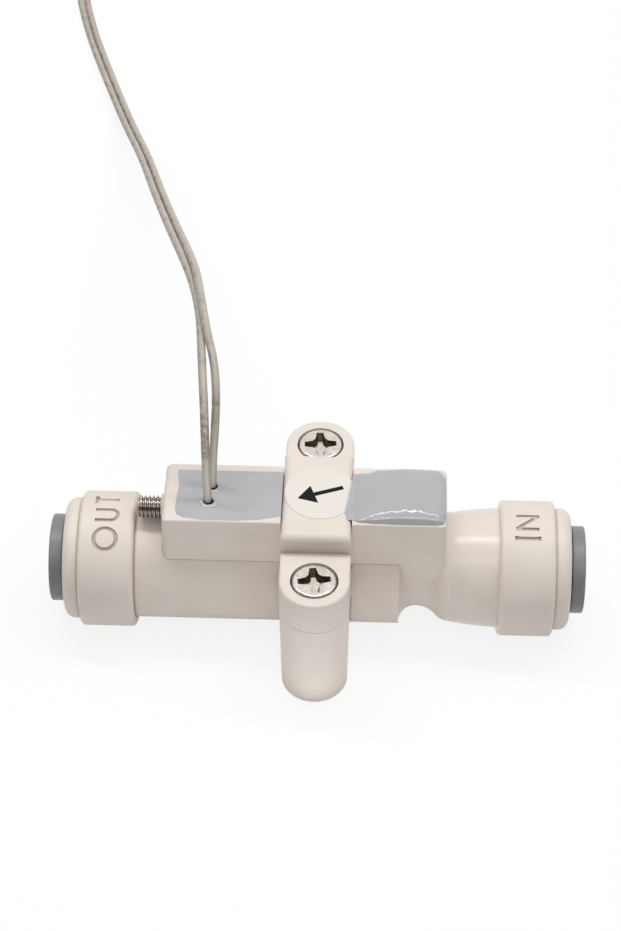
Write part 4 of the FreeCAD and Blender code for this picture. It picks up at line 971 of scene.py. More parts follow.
def pour(name, edges, grid, top_height, material, crowd=1.0):
    """Closed sheet of resin.

    edges gives the left and right x by y, and the front and back y by x; crowd above 1 draws the rows
    together at the front.
    """
    tops, bottoms = pour_heights(edges, grid, top_height, crowd)
    columns, rows = grid
    count = rows + 1
    lower = len(tops)
    faces = []
    for column in range(columns):
        for row in range(rows):
            a = column * count + row
            b, c, d = a + count, a + count + 1, a + 1
            faces.append((a, b, c, d))
            faces.append((lower + d, lower + c, lower + b, lower + a))
    ring = [column * count for column in range(columns + 1)]
    ring += [columns * count + row for row in range(1, rows + 1)]
    ring += [column * count + rows for column in range(columns - 1, -1, -1)]
    ring += [row for row in range(rows - 1, 0, -1)]
    for first, last in zip(ring, ring[1:] + ring[:1]):
        faces.append((first, lower + first, lower + last, last))
    mesh = mesh_of(name, tops + bottoms, faces)
    mesh.validate()
    piece = link_mesh(name, mesh)
    dress(piece, material)
    smooth(piece)
    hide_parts("potting")
    print(name, "is", len(mesh.vertices), "points, top at", round(max(point[2] for point in tops), 2), "mm")
    return piece


print("tray runs from x", TRAY_LEFT, "to", TRAY_RIGHT, "mm")

# %% [markdown]
# ## The levelled pour
# On the outlet side a blade drew the resin level with the rim and left a thin smear over the front wall. A
# plain box would look machined, so the top is nearly flat, thins to nothing at its edge and keeps two
# faint waves of noise from the blade.

# %% Pour the levelled side
LEVEL_GRID = (96, 64)
LEVEL_LEFT = [(-3.3, -15.15), (-2.3, -15.32), (-0.45, -15.26), (0.64, -15.12), (3.1, -15.36)]
LEVEL_RIGHT = [(0.0, -STRAP_HALF - STRAP_GAP - 0.01)]
LEVEL_FRONT = [(-15.2, -3.39), (-14.24, -3.88), (-12.1, -4.17), (-9.2, -4.15), (-6.35, -3.98), (-5.2, -3.66),
               (-3.9, -3.39)]
LEVEL_BACK = [(-15.4, 3.38), (-3.9, 3.38)]
LEVEL_FILM, LEVEL_CROWN = 0.015, 0.05
CROWN_EDGE, WAVE_EDGE = 0.5, 0.4
BACK_SINK, SINK_FROM, SINK_OVER = 0.6, 2.2, 1.0
BLADE_WAVE, BLADE_RIPPLE = 0.02, 0.008


def levelled(x, y, rim):
    """Nearly flat top that thins to nothing at its edge, sinks at the back and has faint waves."""
    wave = (noise.noise((x * 0.35, y * 0.5, 1.7)) * BLADE_WAVE
            + noise.noise((x * 1.1, y * 1.6, 4.2)) * BLADE_RIPPLE)
    crown = LEVEL_CROWN * ease(rim / CROWN_EDGE) * (1 - BACK_SINK * ease((y - SINK_FROM) / SINK_OVER))
    return TRAY_TOP + LEVEL_FILM + crown + wave * ease(rim / WAVE_EDGE)


level_edges = (LEVEL_LEFT, LEVEL_RIGHT, LEVEL_FRONT, LEVEL_BACK)
levelled_resin = pour("levelled_resin", level_edges, LEVEL_GRID, levelled, matt_epoxy)

# %% [markdown]
# ## Wire holes
# The wires were wiggled while the resin set, so each stands in a hole a little wider than itself. A round
# hole would look drilled. A plug with an uneven edge cuts each of them, off centre as the wires lean.

# %% Open the wire holes
HOLE_RADIUS = 0.60
HOLE_RAGGED = 0.14
HOLE_SHIFT = (0.08, -0.25)
HOLE_DEPTH = 1.85
HOLE_SIDES = 28
HOLE_LIP = 0.4


def round_turns(count):
    """Evenly spaced angles of one whole turn."""
    return [2 * math.pi * side / count for side in range(count)]


def prism(name, outline, low_z, high_z):
    """Mesh with straight sides between two heights over a closed outline in millimetres."""
    count = len(outline)
    points = [(x, y, height) for height in (low_z, high_z) for x, y in outline]
    faces = [tuple(range(count - 1, -1, -1)), tuple(range(count, 2 * count))]
    faces += [(side, (side + 1) % count, count + (side + 1) % count, count + side) for side in range(count)]
    return mesh_of(name, points, faces)


def ragged_plug(x, y):
    """Cutter for one wire hole, with an uneven edge."""
    outline = []
    for turn in round_turns(HOLE_SIDES):
        reach = HOLE_RADIUS * (1 + HOLE_RAGGED * noise.noise((3 * math.cos(turn), 3 * math.sin(turn), x)))
        outline.append((x + reach * math.cos(turn), y + reach * math.sin(turn)))
    mesh = prism("ragged_plug", outline, TRAY_TOP - HOLE_DEPTH, TRAY_TOP + HOLE_LIP)
    return add_object("ragged_plug", mesh)


for hole in (FRONT_HOLE, BACK_HOLE):
    cut(levelled_resin, ragged_plug(hole[0] + HOLE_SHIFT[0], hole[1] + HOLE_SHIFT[1]))
dress(levelled_resin, matt_epoxy)
smooth(levelled_resin)
print(levelled_resin.name, "has", len(levelled_resin.data.polygons), "faces with its holes")

# %% [markdown]
# ## Crumbs round the holes
# The wires tore pale crumbs out of the half-set resin, and these stuck on the near side of the holes. They
# could be scattered at random, but the photograph shows where they lie, so a short list places each by its
# angle and distance. Each is a small ball, flattened, roughened by noise and half sunk.

# %% Strew the crumbs
# Epoxy torn while it set: fresh pale faces without gloss.
pale_crumb = cast_resin("torn_pale_epoxy", "#E6E5E2", "#CFCFCE", 0.5, 0.7, 0.02, 0.9)
# Crumbs: which hole, angle round it in degrees, distance and size in millimetres.
CRUMBS = [
    (FRONT_HOLE, -160, 0.74, 0.16), (FRONT_HOLE, -128, 0.80, 0.14), (FRONT_HOLE, -104, 0.92, 0.18),
    (FRONT_HOLE, -78, 0.78, 0.14), (FRONT_HOLE, -52, 0.98, 0.22), (FRONT_HOLE, -30, 0.84, 0.12),
    (BACK_HOLE, -118, 0.70, 0.09), (BACK_HOLE, -84, 0.72, 0.11), (BACK_HOLE, -48, 0.73, 0.10),
    (BACK_HOLE, -20, 0.72, 0.08)]
CRUMB_LIFT = 0.06
CRUMB_ROUGH = 0.35
CRUMB_LONG, CRUMB_FLAT = 1.3, 0.55
CRUMB_TURN = 1.2


def strew_crumbs():
    """One mesh of small torn lumps, each half sunk in the resin."""
    heap = bmesh.new()
    for number, (hole, angle, distance, size) in enumerate(CRUMBS):
        turn = math.radians(angle)
        centre = Vector((hole[0] + HOLE_SHIFT[0] + distance * math.cos(turn),
                         hole[1] + HOLE_SHIFT[1] + distance * math.sin(turn), TRAY_TOP + CRUMB_LIFT))
        lump = bmesh.ops.create_icosphere(heap, subdivisions=2, radius=1.0)
        for vertex in lump["verts"]:
            rough = 1 + CRUMB_ROUGH * noise.noise(vertex.co * 1.7 + Vector((number * 3.1, 0, 0)))
            stretched = Vector((vertex.co.x * CRUMB_LONG, vertex.co.y, vertex.co.z * CRUMB_FLAT))
            placed = Matrix.Rotation(turn + CRUMB_TURN, 3, "Z") @ (stretched * size * rough)
            vertex.co = (centre + placed) * MM
    mesh = bpy.data.meshes.new("resin_crumbs")
    heap.to_mesh(mesh)
    heap.free()
    piece = link_mesh("resin_crumbs", mesh)
    dress(piece, pale_crumb)
    smooth(piece)


strew_crumbs()
print(len(CRUMBS), "crumbs round two wire holes")

# %% [markdown]
# ## The domed pour
# On the inlet side nobody levelled the resin. Surface tension pulled it into a dome that starts level with
# the strap, stands a millimetre proud in the middle and falls away steeply at the front, right and back. A
# sphere would be too even. A quarter ellipse has the right slope, flat on top and upright at the edge, and
# a low ridge along the front draws the lamp there as a bright streak.

# %% Pour the domed side
DOME_GRID = (130, 130)
FRONT_CROWD = 1.6
DOME_RISE = 1.08
FRONT_REACH, BACK_REACH, RIGHT_REACH = 2.0, 1.6, 0.9
# The swell is highest here; it falls off over these lengths, by these powers.
SWELL_CENTRE = 9.4
SWELL_LEFT, SWELL_RIGHT, LENS_RIGHT = 5.35, 4.70, 4.40
LEFT_POWER, RIGHT_POWER, LENS_POWER = 1.7, 0.35, 5
LENS_LEAST = 0.12
RIDGE_PLACE = 0.14
RIDGE_RISE = 0.093
RIDGE_WIDTH = 0.13
FILM, FILM_EDGE, FILM_SINK = 0.05, 0.15, 0.004
SLOW_WAVE, MIDDLE_WAVE, FINE_WAVE = 0.05, 0.020, 0.004
DOME_LEFT = [(-3.7, 3.75), (-3.2, 3.18), (-2.4, 2.98), (-1.0, 3.12), (1.0, 3.4), (2.6, 3.75), (3.4, 3.84)]
DOME_RIGHT = [(-3.36, 13.72), (-2.9, 13.93), (-2.0, 14.0), (1.5, 14.0), (2.9, 13.96), (3.36, 13.6)]
DOME_FRONT = [(3.2, -3.55), (4.8, -4.02), (6.4, -4.14), (9.0, -4.18), (12.8, -4.18), (13.4, -4.08),
              (13.9, -3.8)]
DOME_BACK = [(3.9, 3.38), (5.2, 3.42), (6.7, 3.8), (10.0, 3.95), (13.2, 3.9), (14.0, 3.2)]


def quarter_round(distance, reach):
    """Height from 0 to 1 of a quarter ellipse at a distance from its upright edge."""
    inward = 1 - min(max(distance / reach, 0.0), 1.0)
    return math.sqrt(1 - inward * inward)


def domed(x, y, rim):
    """Proud pour; its swell also narrows the front slope towards both ends, which bows the streaks."""
    if x < SWELL_CENTRE:
        swell = 1 - min((SWELL_CENTRE - x) / SWELL_LEFT, 1.0) ** LEFT_POWER
        lens = swell
    else:
        swell = max(1 - ((x - SWELL_CENTRE) / SWELL_RIGHT) ** 2, 0.0) ** RIGHT_POWER
        lens = 1 - min((x - SWELL_CENTRE) / LENS_RIGHT, 1.0) ** LENS_POWER
    reach = FRONT_REACH * max(lens, LENS_LEAST)
    from_front = y - along_line(DOME_FRONT, x)
    sides = quarter_round(along_line(DOME_BACK, x) - y, BACK_REACH)
    sides *= quarter_round(along_line(DOME_RIGHT, y) - x, RIGHT_REACH)
    wave = (SLOW_WAVE * noise.noise((x * 0.4, y * 0.4, 8.4))
            + MIDDLE_WAVE * noise.noise((x * 1.7, y * 1.7, 2.9)))
    wave += FINE_WAVE * noise.noise((x * 4.3, y * 4.3, 6.1))
    height = DOME_RISE * swell * quarter_round(from_front, reach) * (1 + wave)
    fold = (from_front - RIDGE_PLACE * reach) / RIDGE_WIDTH
    height += RIDGE_RISE * lens * math.exp(-fold * fold) * (1 + 3 * wave)
    return TRAY_TOP - FILM_SINK + FILM * ease(rim / FILM_EDGE) + height * sides


dome_edges = (DOME_LEFT, DOME_RIGHT, DOME_FRONT, DOME_BACK)
pour("domed_resin", dome_edges, DOME_GRID, domed, glossy_epoxy, FRONT_CROWD)

# %% [markdown]
# ## Turned pieces
# A screw is a lathe part with a helix rolled into it. A Screw modifier could wind the thread, but then the
# head and the point would be pieces of their own. Instead we build rings of points: each ring is joined to
# the next by quads, and the ends are closed with fans, or the last ring meets the first. The thread is a
# wave in the radius that climbs one pitch per turn.

# %% Helpers for turned pieces
RING_POINTS = 48


def skin(name, rings, body=HOUSING, endless=False):
    """Closed piece from rings of points in millimetres, with a fan at either end or none if it is endless."""
    points = [place for ring in rings for place in ring]
    count = len(rings[0])
    faces = []
    for level in range(len(rings) if endless else len(rings) - 1):
        following = (level + 1) % len(rings)
        for side in range(count):
            after = (side + 1) % count
            faces.append((level * count + side, level * count + after,
                          following * count + after, following * count + side))
    for level in () if endless else (0, len(rings) - 1):
        tip = len(points)
        points.append([sum(place[way] for place in rings[level]) / count for way in range(3)])
        for side in range(count):
            faces.append((level * count + side, tip, level * count + (side + 1) % count))
    mesh = mesh_of(name, points, faces)
    mend_shell(mesh, outward=True)
    return link_mesh(name, mesh, body)


def thread_wave(along, turn, pitch):
    """Height of a rolled thread from root to crest, 0 to 1, with broad flat crest and root."""
    phase = (along / pitch - turn / (2 * math.pi)) % 1.0
    return min(max(2 * (1 - abs(2 * phase - 1)) - 0.5, 0.0), 1.0)


print("a ring has", RING_POINTS, "points")

# %% [markdown]
# ## Clamp screws
# Two pan-head screws hold the clamp's halves together. The head's edge is a quarter ellipse, which gives
# the eye one soft ring of light. The drive recess was punched, so it is cut with a tapered cross, and the
# cutter's own browner metal, partly painted shade, stays on the walls that it leaves; its foot keeps the
# head's bright plating as a painted reflection. A painted cross would look flat from the side.

# %% Turn the clamp screws
low_corner, high_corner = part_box("clamp_screws")
SCREW_OFFSET = 10.35
SCREW_SEAT = 14.34
SCREW_TOP = high_corner.z / MM
SCREW_TIP = low_corner.z / MM
SCREW_HEAD = high_corner.x / MM
HEAD_ROUND, HEAD_DROP = 0.30, 0.44
HEAD_EDGE, HEAD_FLAT = 0.12, 0.05
ROUND_STEPS = 8
SHANK_RADIUS = 1.28
BARE_SHANK = 0.5
POINT_RADIUS, POINT_SLOPE = 0.25, 0.9
THREAD_DEPTH = 0.24
THREAD_STEPS = 12
SCREW_PITCH = 0.9
CROSS_REACH, CROSS_TIP, CROSS_HALF, CROSS_CORNER = 1.78, 0.36, 0.52, 0.88
CROSS_FOOT = 0.62
CROSS_DEPTH = 0.80
CROSS_PROUD = 0.3
FRONT_CROSS, BACK_CROSS = 8, 4


def ring_at(radius, height, centre_y):
    """Level ring of points at a height."""
    return [(radius * math.cos(turn), centre_y + radius * math.sin(turn), height)
            for turn in round_turns(RING_POINTS)]


def cross_cutter(centre_y, turn):
    """Tapered cross with eased inner corners and a flat foot; its walls take painted shade, and its foot the
    head's plating as a painted reflection.
    """
    quarter = [(CROSS_REACH, -CROSS_TIP), (CROSS_REACH, CROSS_TIP), (CROSS_CORNER, CROSS_HALF),
               (CROSS_HALF, CROSS_CORNER)]
    outline = []
    for number in range(4):
        spin = math.radians(90 * number + turn)
        for x, y in quarter:
            outline.append((x * math.cos(spin) - y * math.sin(spin), x * math.sin(spin) + y * math.cos(spin)))
    top, foot = SCREW_TOP + CROSS_PROUD, SCREW_TOP - CROSS_DEPTH
    flare = 1 + (1 - CROSS_FOOT) * CROSS_PROUD / CROSS_DEPTH
    rings = [[(x * flare, centre_y + y * flare, top) for x, y in outline],
             [(x * CROSS_FOOT, centre_y + y * CROSS_FOOT, foot) for x, y in outline]]
    cutter = skin("cross_cutter", rings)
    # Walls: browner plating, partly painted shade. Foot: the head's bright plating, a painted reflection.
    dress(cutter, recess_shade_plate, nickel_plate)
    for face in cutter.data.polygons:
        face.material_index = int(abs(face.center.z - foot * MM) < WELD)
    return cutter


def turn_clamp_screw(name, centre_y, turn):
    """Pan-head screw with a rolled thread and a punched cross."""
    rings = []
    thread_top = SCREW_SEAT - BARE_SHANK
    steps = round((thread_top - SCREW_TIP) / SCREW_PITCH * THREAD_STEPS)
    for step in range(steps + 1):
        height = SCREW_TIP + (thread_top - SCREW_TIP) * step / steps
        ring = []
        for spin in round_turns(RING_POINTS):
            crest = SHANK_RADIUS - THREAD_DEPTH * (1 - thread_wave(height, spin, SCREW_PITCH))
            radius = min(crest, POINT_RADIUS + (height - SCREW_TIP) * POINT_SLOPE)
            ring.append((radius * math.cos(spin), centre_y + radius * math.sin(spin), height))
        rings.append(ring)
    rings += [ring_at(SHANK_RADIUS, SCREW_SEAT, centre_y),
              ring_at(SCREW_HEAD - HEAD_EDGE, SCREW_SEAT, centre_y),
              ring_at(SCREW_HEAD, SCREW_SEAT + HEAD_EDGE, centre_y)]
    for step in range(ROUND_STEPS + 1):
        bend = math.pi / 2 * step / ROUND_STEPS
        rings.append(ring_at(SCREW_HEAD - HEAD_ROUND * (1 - math.cos(bend)),
                             SCREW_TOP - HEAD_DROP * (1 - math.sin(bend)), centre_y))
    rings.append(ring_at(SCREW_HEAD - HEAD_ROUND - HEAD_FLAT, SCREW_TOP, centre_y))
    piece = skin(name, rings)
    dress(piece, nickel_plate)
    cut(piece, cross_cutter(centre_y, turn))
    smooth(piece)
    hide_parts("clamp_screws")
    print(name, "has", len(piece.data.polygons), "faces and", len(piece.data.materials), "finishes")


turn_clamp_screw("clamp_screw_front", -SCREW_OFFSET, FRONT_CROSS)
turn_clamp_screw("clamp_screw_back", SCREW_OFFSET, BACK_CROSS)

# %% [markdown]
# ## Adjusting screw
# A headless screw in the tray's end wall sets the switching point. Its fine thread shows in full outside
# the tray, so a bump in the shading would give it away at the edges, and the thread is real. The rings
# start down in the six-sided socket and come out over its lip, so that socket and thread are one skin. The
# roots are painted darker, as painted shade.

# %% Turn the adjusting screw
trim_low, trim_high = (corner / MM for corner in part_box("adjusting_screw"))
TRIM_AXIS = (trim_low.z + trim_high.z) / 2
TRIM_RADIUS = (trim_high.z - trim_low.z) / 2
TRIM_PITCH = 0.45
TRIM_THREAD = 0.24
TRIM_CHAMFER = 0.28
SOCKET_FLAT = 0.65
SOCKET_DEPTH = 1.4
SOCKET_TAPER, SOCKET_LIP, SOCKET_FLARE = 0.98, 0.06, 0.05
PITCH_STEPS = 16
# Shares of the thread's depth between which the painted shade thins out.
ROOT_SHADE_DEEP, ROOT_SHADE_SHALLOW = 0.8, 0.2


def trim_ring(along, radius_of):
    """Ring round the adjusting screw's axis; radius_of gives the radius at a turn."""
    ring = []
    for turn in round_turns(RING_POINTS):
        radius = radius_of(turn)
        ring.append((along, radius * math.cos(turn), TRIM_AXIS + radius * math.sin(turn)))
    return ring


def six_sided(turn):
    """Radius of the socket's hexagon at a turn."""
    sixth = math.pi / 3
    return SOCKET_FLAT / math.cos((turn % sixth) - sixth / 2)


def paint_root_shade():
    """Paints shade on the thread's metal below the crests."""
    tree = oily_nickel.node_tree
    shader = tree.nodes["Principled BSDF"]
    unshaded = shader.inputs["Base Color"].links[0].from_socket
    place = add_node(tree, "ShaderNodeTexCoord").outputs["Object"]
    off_axis = add_node(tree, "ShaderNodeVectorMath", {1: (0, 0, -TRIM_AXIS * MM)}, {0: place},
                        operation="ADD")
    across = add_node(tree, "ShaderNodeVectorMath", {1: (0, 1, 1)}, {0: off_axis.outputs[0]},
                      operation="MULTIPLY")
    radius = add_node(tree, "ShaderNodeVectorMath", links={0: across.outputs[0]}, operation="LENGTH")
    crest = add_node(tree, "ShaderNodeMapRange",
                     {"From Min": (TRIM_RADIUS - ROOT_SHADE_DEEP * TRIM_THREAD) * MM,
                      "From Max": (TRIM_RADIUS - ROOT_SHADE_SHALLOW * TRIM_THREAD) * MM},
                     {"Value": radius.outputs["Value"]})
    # Painted shade: the roots darken towards this tone.
    tint = add_node(tree, "ShaderNodeMix", {6: linear("#968F87")}, {0: crest.outputs["Result"], 7: unshaded},
                    data_type="RGBA")
    tree.links.new(tint.outputs[2], shader.inputs["Base Color"])


def turn_adjusting_screw():
    """Threaded rod with chamfered ends and a six-sided socket."""
    length = trim_high.x - trim_low.x
    rings = [trim_ring(trim_low.x + SOCKET_DEPTH, lambda turn: six_sided(turn) * SOCKET_TAPER),
             trim_ring(trim_low.x + SOCKET_LIP, six_sided),
             trim_ring(trim_low.x, lambda turn: six_sided(turn) + SOCKET_FLARE)]
    steps = round(length / TRIM_PITCH * PITCH_STEPS)
    for step in range(steps + 1):
        along = length * step / steps
        end = min(along, length - along)
        limit = TRIM_RADIUS - max(0.0, TRIM_CHAMFER - end)
        rings.append(trim_ring(trim_low.x + along, lambda turn, along=along, limit=limit: min(
            limit, TRIM_RADIUS - TRIM_THREAD * (1 - thread_wave(along, turn, TRIM_PITCH)))))
    piece = skin("threaded_adjusting_screw", rings, "trim")
    dress(piece, oily_nickel)
    smooth(piece)
    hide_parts("adjusting_screw")
    return piece


paint_root_shade()
adjusting_screw = turn_adjusting_screw()
print(adjusting_screw.name, "has", len(adjusting_screw.data.polygons), "faces")

# %% [markdown]
# ## Drop of adhesive
# A drop of adhesive round the adjusting screw keeps its setting. It set as a lumpy ring against the wall. A
# torus would be too regular, so a given profile is carried round the screw while noise makes its radius
# wander.

# %% Set the bead
BEAD_GAP = 0.03
BEAD_LUMP = 0.16


def set_bead():
    """Lumpy ring of adhesive between the tray's wall and the screw."""
    low_bead, high_bead = (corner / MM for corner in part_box("lock_bead"))
    inner, outer = TRIM_RADIUS + BEAD_GAP, (high_bead.z - low_bead.z) / 2
    wall, crest = high_bead.x, low_bead.x
    # The profile: place along the screw, and share of the way from the screw to the bead's rim.
    profile = [(wall, 0.0), (crest, 0.0), (crest + 0.03, 0.35), (crest + 0.12, 0.75), (wall - 0.08, 0.98),
               (wall, 1.0)]
    rings = []
    for along, share in profile:
        lump = BEAD_LUMP * (share > 0)
        rings.append(trim_ring(along, lambda turn, share=share, lump=lump: inner + (outer - inner) * share * (
            1 - lump + lump * noise.noise((2 * math.cos(turn), 2 * math.sin(turn), 3.3)))))
    piece = skin("adhesive_bead", rings, endless=True)
    dress(piece, thread_adhesive)
    smooth(piece)
    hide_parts("lock_bead")
    return piece


bead = set_bead()
print(bead.name, "has", len(bead.data.polygons), "faces")

# %% [markdown]
# ## Label
# A round label of thin frosted film lies on the strap and hangs a little over its inlet edge. It takes the
# tone of what lies under it, ivory strap and then grey resin. Real transparency would show the strap's edge
# sharply through it, so the film is a solid disc whose colour changes along its own length, with a ragged
# border between the two tones.

# %% Stick on the label
label_low, label_high = (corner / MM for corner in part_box("round_label"))
LABEL_CENTRE = (label_low + label_high) / 2
LABEL_RADIUS = (label_high.x - label_low.x) / 2
LABEL_THICK = 0.06
LABEL_SIDES = 96
FIBRE_SIZE = 1.5
BORDER_SLANT, BORDER_RAGGED = -0.13, 0.12
BORDER_START, BORDER_END = 0.55, 0.25


def flat_shape(name, outline, low_z, high_z, material):
    """Thin plate from an outline in millimetres."""
    piece = link_mesh(name, prism(name, outline, low_z, high_z))
    dress(piece, material)
    return piece


def thin_label_film():
    """Frosted film so thin that it takes the tone of what lies under it: ivory strap, then grey resin."""
    material, tree, shader, place = start_material("frosted_label_film", IOR=1.5)
    along = add_node(tree, "ShaderNodeSeparateXYZ", links={"Vector": place})
    fibre = add_node(tree, "ShaderNodeTexNoise", {"Scale": per_metre(FIBRE_SIZE), "Detail": 4.0},
                     {"Vector": place})
    slant = add_node(tree, "ShaderNodeMath", {1: BORDER_SLANT},
                     {0: along.outputs["Y"], 2: along.outputs["X"]}, operation="MULTIPLY_ADD")
    ragged = add_node(tree, "ShaderNodeMath", {1: BORDER_RAGGED * MM},
                      {0: fibre.outputs["Fac"], 2: slant.outputs[0]}, operation="MULTIPLY_ADD")
    under = add_node(tree, "ShaderNodeMapRange", {"From Min": (STRAP_HALF - BORDER_START) * MM,
                                                  "From Max": (STRAP_HALF - BORDER_END) * MM},
                     {"Value": ragged.outputs[0]})
    tone = add_node(tree, "ShaderNodeValToRGB", links={"Fac": under.outputs["Result"]},
                    ramp=[(0.0, linear("#EEE7DF")), (1.0, linear("#B5B6B9"))])
    tree.links.new(tone.outputs["Color"], shader.inputs["Base Color"])
    frost = add_node(tree, "ShaderNodeMapRange",
                     {"From Min": NOISE_LOW, "From Max": NOISE_HIGH, "To Min": 0.32, "To Max": 0.5},
                     {"Value": fibre.outputs["Fac"]})
    tree.links.new(frost.outputs["Result"], shader.inputs["Roughness"])
    return material


disc = [(LABEL_CENTRE.x + LABEL_RADIUS * math.cos(turn), LABEL_CENTRE.y + LABEL_RADIUS * math.sin(turn))
        for turn in round_turns(LABEL_SIDES)]
# Frosted film: a soft sheen like tracing paper.
label_film = thin_label_film()
label = flat_shape("clear_label", disc, label_low.z, label_low.z + LABEL_THICK, label_film)
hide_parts("round_label")
print("label radius", round(LABEL_RADIUS, 2), "mm")

# %% [markdown]
# ## Flow arrow
# The label carries one printed mark, a plain arrow along the flow. A colour in the film's material would
# need a mask. A separate flat shape just above the film is simpler, and its edges stay sharp at any
# distance.

# %% Print the arrow
INK_THICK = 0.02
ARROW_TURN = math.radians(200)
ARROW_HALF, ARROW_HEAD, ARROW_SHAFT, ARROW_WING = 2.6, 1.9, 0.27, 1.35
neck = ARROW_HALF - ARROW_HEAD
arrow_plan = [(-ARROW_HALF, -ARROW_SHAFT), (neck, -ARROW_SHAFT), (neck, -ARROW_WING), (ARROW_HALF, 0),
              (neck, ARROW_WING), (neck, ARROW_SHAFT), (-ARROW_HALF, ARROW_SHAFT)]
arrow_outline = [(LABEL_CENTRE.x + x * math.cos(ARROW_TURN) - y * math.sin(ARROW_TURN),
                  LABEL_CENTRE.y + x * math.sin(ARROW_TURN) + y * math.cos(ARROW_TURN))
                 for x, y in arrow_plan]
# Screen-printed ink: a dry black film that hardly shines.
black_ink = moulded_plastic("black_label_ink", "#1A191A", "#141314", 0.42, 0.6, 0.004)
black_ink.node_tree.nodes["Principled BSDF"].inputs["Specular IOR Level"].default_value = 0.12
flat_shape("flow_arrow", arrow_outline, label_low.z + LABEL_THICK, label_low.z + LABEL_THICK + INK_THICK,
           black_ink)
print("arrow", 2 * ARROW_HALF, "mm long")

# %% [markdown]
# ## Return spring
# Inside, a wound spring holds the plunger shut. It is a helix of round wire. A curve with a bevel would
# draw it too; here rings of points follow the helix.

# %% Wind the return spring
spring_low, spring_high = (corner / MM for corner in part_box("return_spring"))
SPRING_WIRE = 0.18
SPRING_TURNS = 6
TURN_STEPS = 36
WIRE_SIDES = 12


def wind_spring():
    """Round wire wound into an even helix."""
    radius = (spring_high.z - spring_low.z) / 2 - SPRING_WIRE
    start, end = spring_low.x + SPRING_WIRE, spring_high.x - SPRING_WIRE
    steps = SPRING_TURNS * TURN_STEPS
    rings = []
    for step in range(steps + 1):
        turn = 2 * math.pi * step / TURN_STEPS
        share = step / steps
        centre = Vector((start + (end - start) * share, radius * math.cos(turn),
                         AXIS_HEIGHT + radius * math.sin(turn)))
        outward = Vector((0, math.cos(turn), math.sin(turn)))
        along = Vector(((end - start) / (2 * math.pi * SPRING_TURNS), -radius * math.sin(turn),
                        radius * math.cos(turn))).normalized()
        aside = along.cross(outward)
        rings.append([tuple(centre + (outward * math.cos(spin) + aside * math.sin(spin)) * SPRING_WIRE)
                      for spin in round_turns(WIRE_SIDES)])
    piece = skin("wound_return_spring", rings)
    dress(piece, spring_wire_steel)
    smooth(piece)
    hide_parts("return_spring")
    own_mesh(piece)
    return piece


spring = wind_spring()
print(spring.name, "has", len(spring.data.polygons), "faces")

# %% [markdown]
# ## Tent and bench
# The object stands on a white board in a white light tent. A bright white could be had by more light, but
# that would bleach the ivory. So the world and the board show white only to the camera and to shiny or
# clear surfaces, and light the object at a plain level, at which colours render as they are written. The
# tent's front is open below the camera, and shiny metal mirrors the dark room there.

# %% Build the tent and the bench
FLOOR_SIZE = 4000.0
FLOOR_DROP = 0.02
# Light from the tent's walls, level with the bench and straight above.
WALL_LIGHT, ROOF_LIGHT = 0.06, 0.80
ROOM_LIGHT = 0.15
# Heights of a direction, and its turn to the front, between which the tent gives way to the room.
ROOM_HEIGHT, ROOM_FRONT = (0.74, 0.64), (-0.15, -0.35)
# How much of the board is pure white to the eye; the rest is shaded, so that the shadow shows.
BOARD_WHITE = 0.84


def white_to_eyes(tree):
    """1 where a ray comes from the camera or from a shiny or clear surface, else 0."""
    path = add_node(tree, "ShaderNodeLightPath").outputs
    shiny = add_node(tree, "ShaderNodeMath",
                     links={0: path["Is Glossy Ray"], 1: path["Is Transmission Ray"]}, operation="MAXIMUM")
    seen = add_node(tree, "ShaderNodeMath", links={0: path["Is Camera Ray"], 1: shiny.outputs[0]},
                    operation="MAXIMUM")
    return seen.outputs[0]


def make_world():
    """Tent walls: white to the eye, and a soft light that is stronger from above."""
    world = bpy.data.worlds.new("light_tent")
    bpy.context.scene.world = world
    world.use_nodes = True
    tree = world.node_tree
    background = tree.nodes["Background"]
    direction = add_node(tree, "ShaderNodeTexCoord").outputs["Generated"]
    height = add_node(tree, "ShaderNodeSeparateXYZ", links={"Vector": direction})
    light = add_node(tree, "ShaderNodeMapRange",
                     {"From Min": 0.0, "From Max": 1.0, "To Min": WALL_LIGHT, "To Max": ROOF_LIGHT},
                     {"Value": height.outputs["Z"]})
    low_down = add_node(tree, "ShaderNodeMapRange", {"From Min": ROOM_HEIGHT[0], "From Max": ROOM_HEIGHT[1]},
                        {"Value": height.outputs["Z"]})
    in_front = add_node(tree, "ShaderNodeMapRange", {"From Min": ROOM_FRONT[0], "From Max": ROOM_FRONT[1]},
                        {"Value": height.outputs["Y"]})
    room = add_node(tree, "ShaderNodeMath",
                    links={0: low_down.outputs["Result"], 1: in_front.outputs["Result"]},
                    operation="MULTIPLY")
    wall = add_node(tree, "ShaderNodeMapRange", {"To Min": 1.0, "To Max": ROOM_LIGHT},
                    {"Value": room.outputs[0]})
    strength = add_node(tree, "ShaderNodeMix", links={"Factor": white_to_eyes(tree),
                                                      "A": light.outputs["Result"],
                                                      "B": wall.outputs["Result"]})
    tree.links.new(strength.outputs["Result"], background.inputs["Strength"])
    background.inputs["Color"].default_value = linear("#FFFFFF")


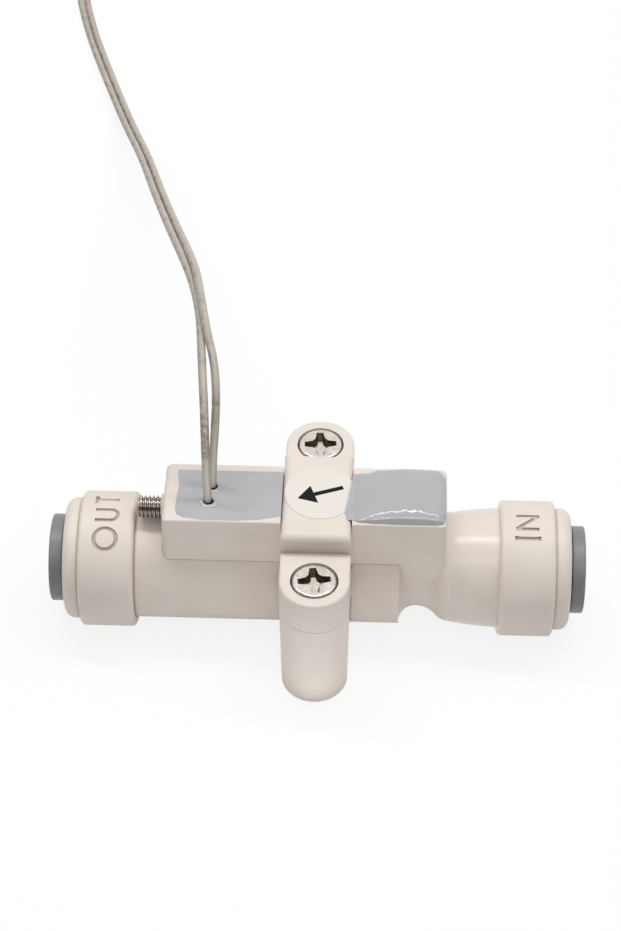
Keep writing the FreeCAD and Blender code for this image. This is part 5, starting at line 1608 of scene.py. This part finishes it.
def make_floor():
    """White board: white to the eye, with part of its true shading kept so that the shadow shows."""
    half = FLOOR_SIZE / 2
    corners = [(-half, -half, -FLOOR_DROP), (half, -half, -FLOOR_DROP), (half, half, -FLOOR_DROP),
               (-half, half, -FLOOR_DROP)]
    bench = add_object("bench", mesh_of("bench", corners, [(0, 1, 2, 3)]))
    # Coated board: chalky, without a highlight.
    material, tree, shader, _ = start_material("white_bench_board", Roughness=0.9, IOR=1.3)
    seen = white_to_eyes(tree)
    board = add_node(tree, "ShaderNodeMix", {6: linear("#E2E2E2"), 7: linear("#FFFFFF")}, {0: seen},
                     data_type="RGBA")
    tree.links.new(board.outputs[2], shader.inputs["Base Color"])
    glow = add_node(tree, "ShaderNodeEmission", {"Color": linear("#FFFFFF"), "Strength": 1.0})
    share = add_node(tree, "ShaderNodeMath", {1: BOARD_WHITE}, {0: seen}, operation="MULTIPLY")
    mix = add_node(tree, "ShaderNodeMixShader", links={0: share.outputs[0], 1: shader.outputs["BSDF"],
                                                       2: glow.outputs["Emission"]})
    tree.links.new(mix.outputs["Shader"], tree.nodes["Material Output"].inputs["Surface"])
    dress(bench, material)


make_world()
make_floor()
print("bench", FLOOR_SIZE, "mm wide,", FLOOR_DROP, "mm below the foot")

# %% [markdown]
# ## Lamps
# One long softbox overhead gives flat, bright top faces. A narrow strip in front draws the streaks on the
# resin, and a small card on the bench throws a little light back under the clamp. A sun lamp would throw
# hard shadows, so all three are area lamps, and none shows itself to the camera.

# %% Hang the lamps


def hang_softbox(name, place, aim, size, power):
    """Rectangular lamp at a place, facing a second place; sizes in millimetres, power in watts."""
    data = bpy.data.lights.new(name, "AREA")
    data.shape = "RECTANGLE"
    data.size, data.size_y = (edge * MM for edge in size)
    data.energy = power
    lamp = add_object(name, data)
    lamp.location = Vector(place) * MM
    lamp.rotation_euler = (Vector(aim) - Vector(place)).to_track_quat("-Z", "Y").to_euler()
    lamp.visible_camera = False


hang_softbox("overhead_box", (24, 126, 594), (0, 0, AXIS_HEIGHT), (760, 60), 1.85)
hang_softbox("front_strip", (24, -322, 513), (0, 0, AXIS_HEIGHT), (500, 16), 0.16)
hang_softbox("floor_card", (0.5, -21.5, 0.2), (0.5, -21.4, 10), (26, 12), 0.0008)
bpy.context.scene.view_settings.view_transform = "Standard"
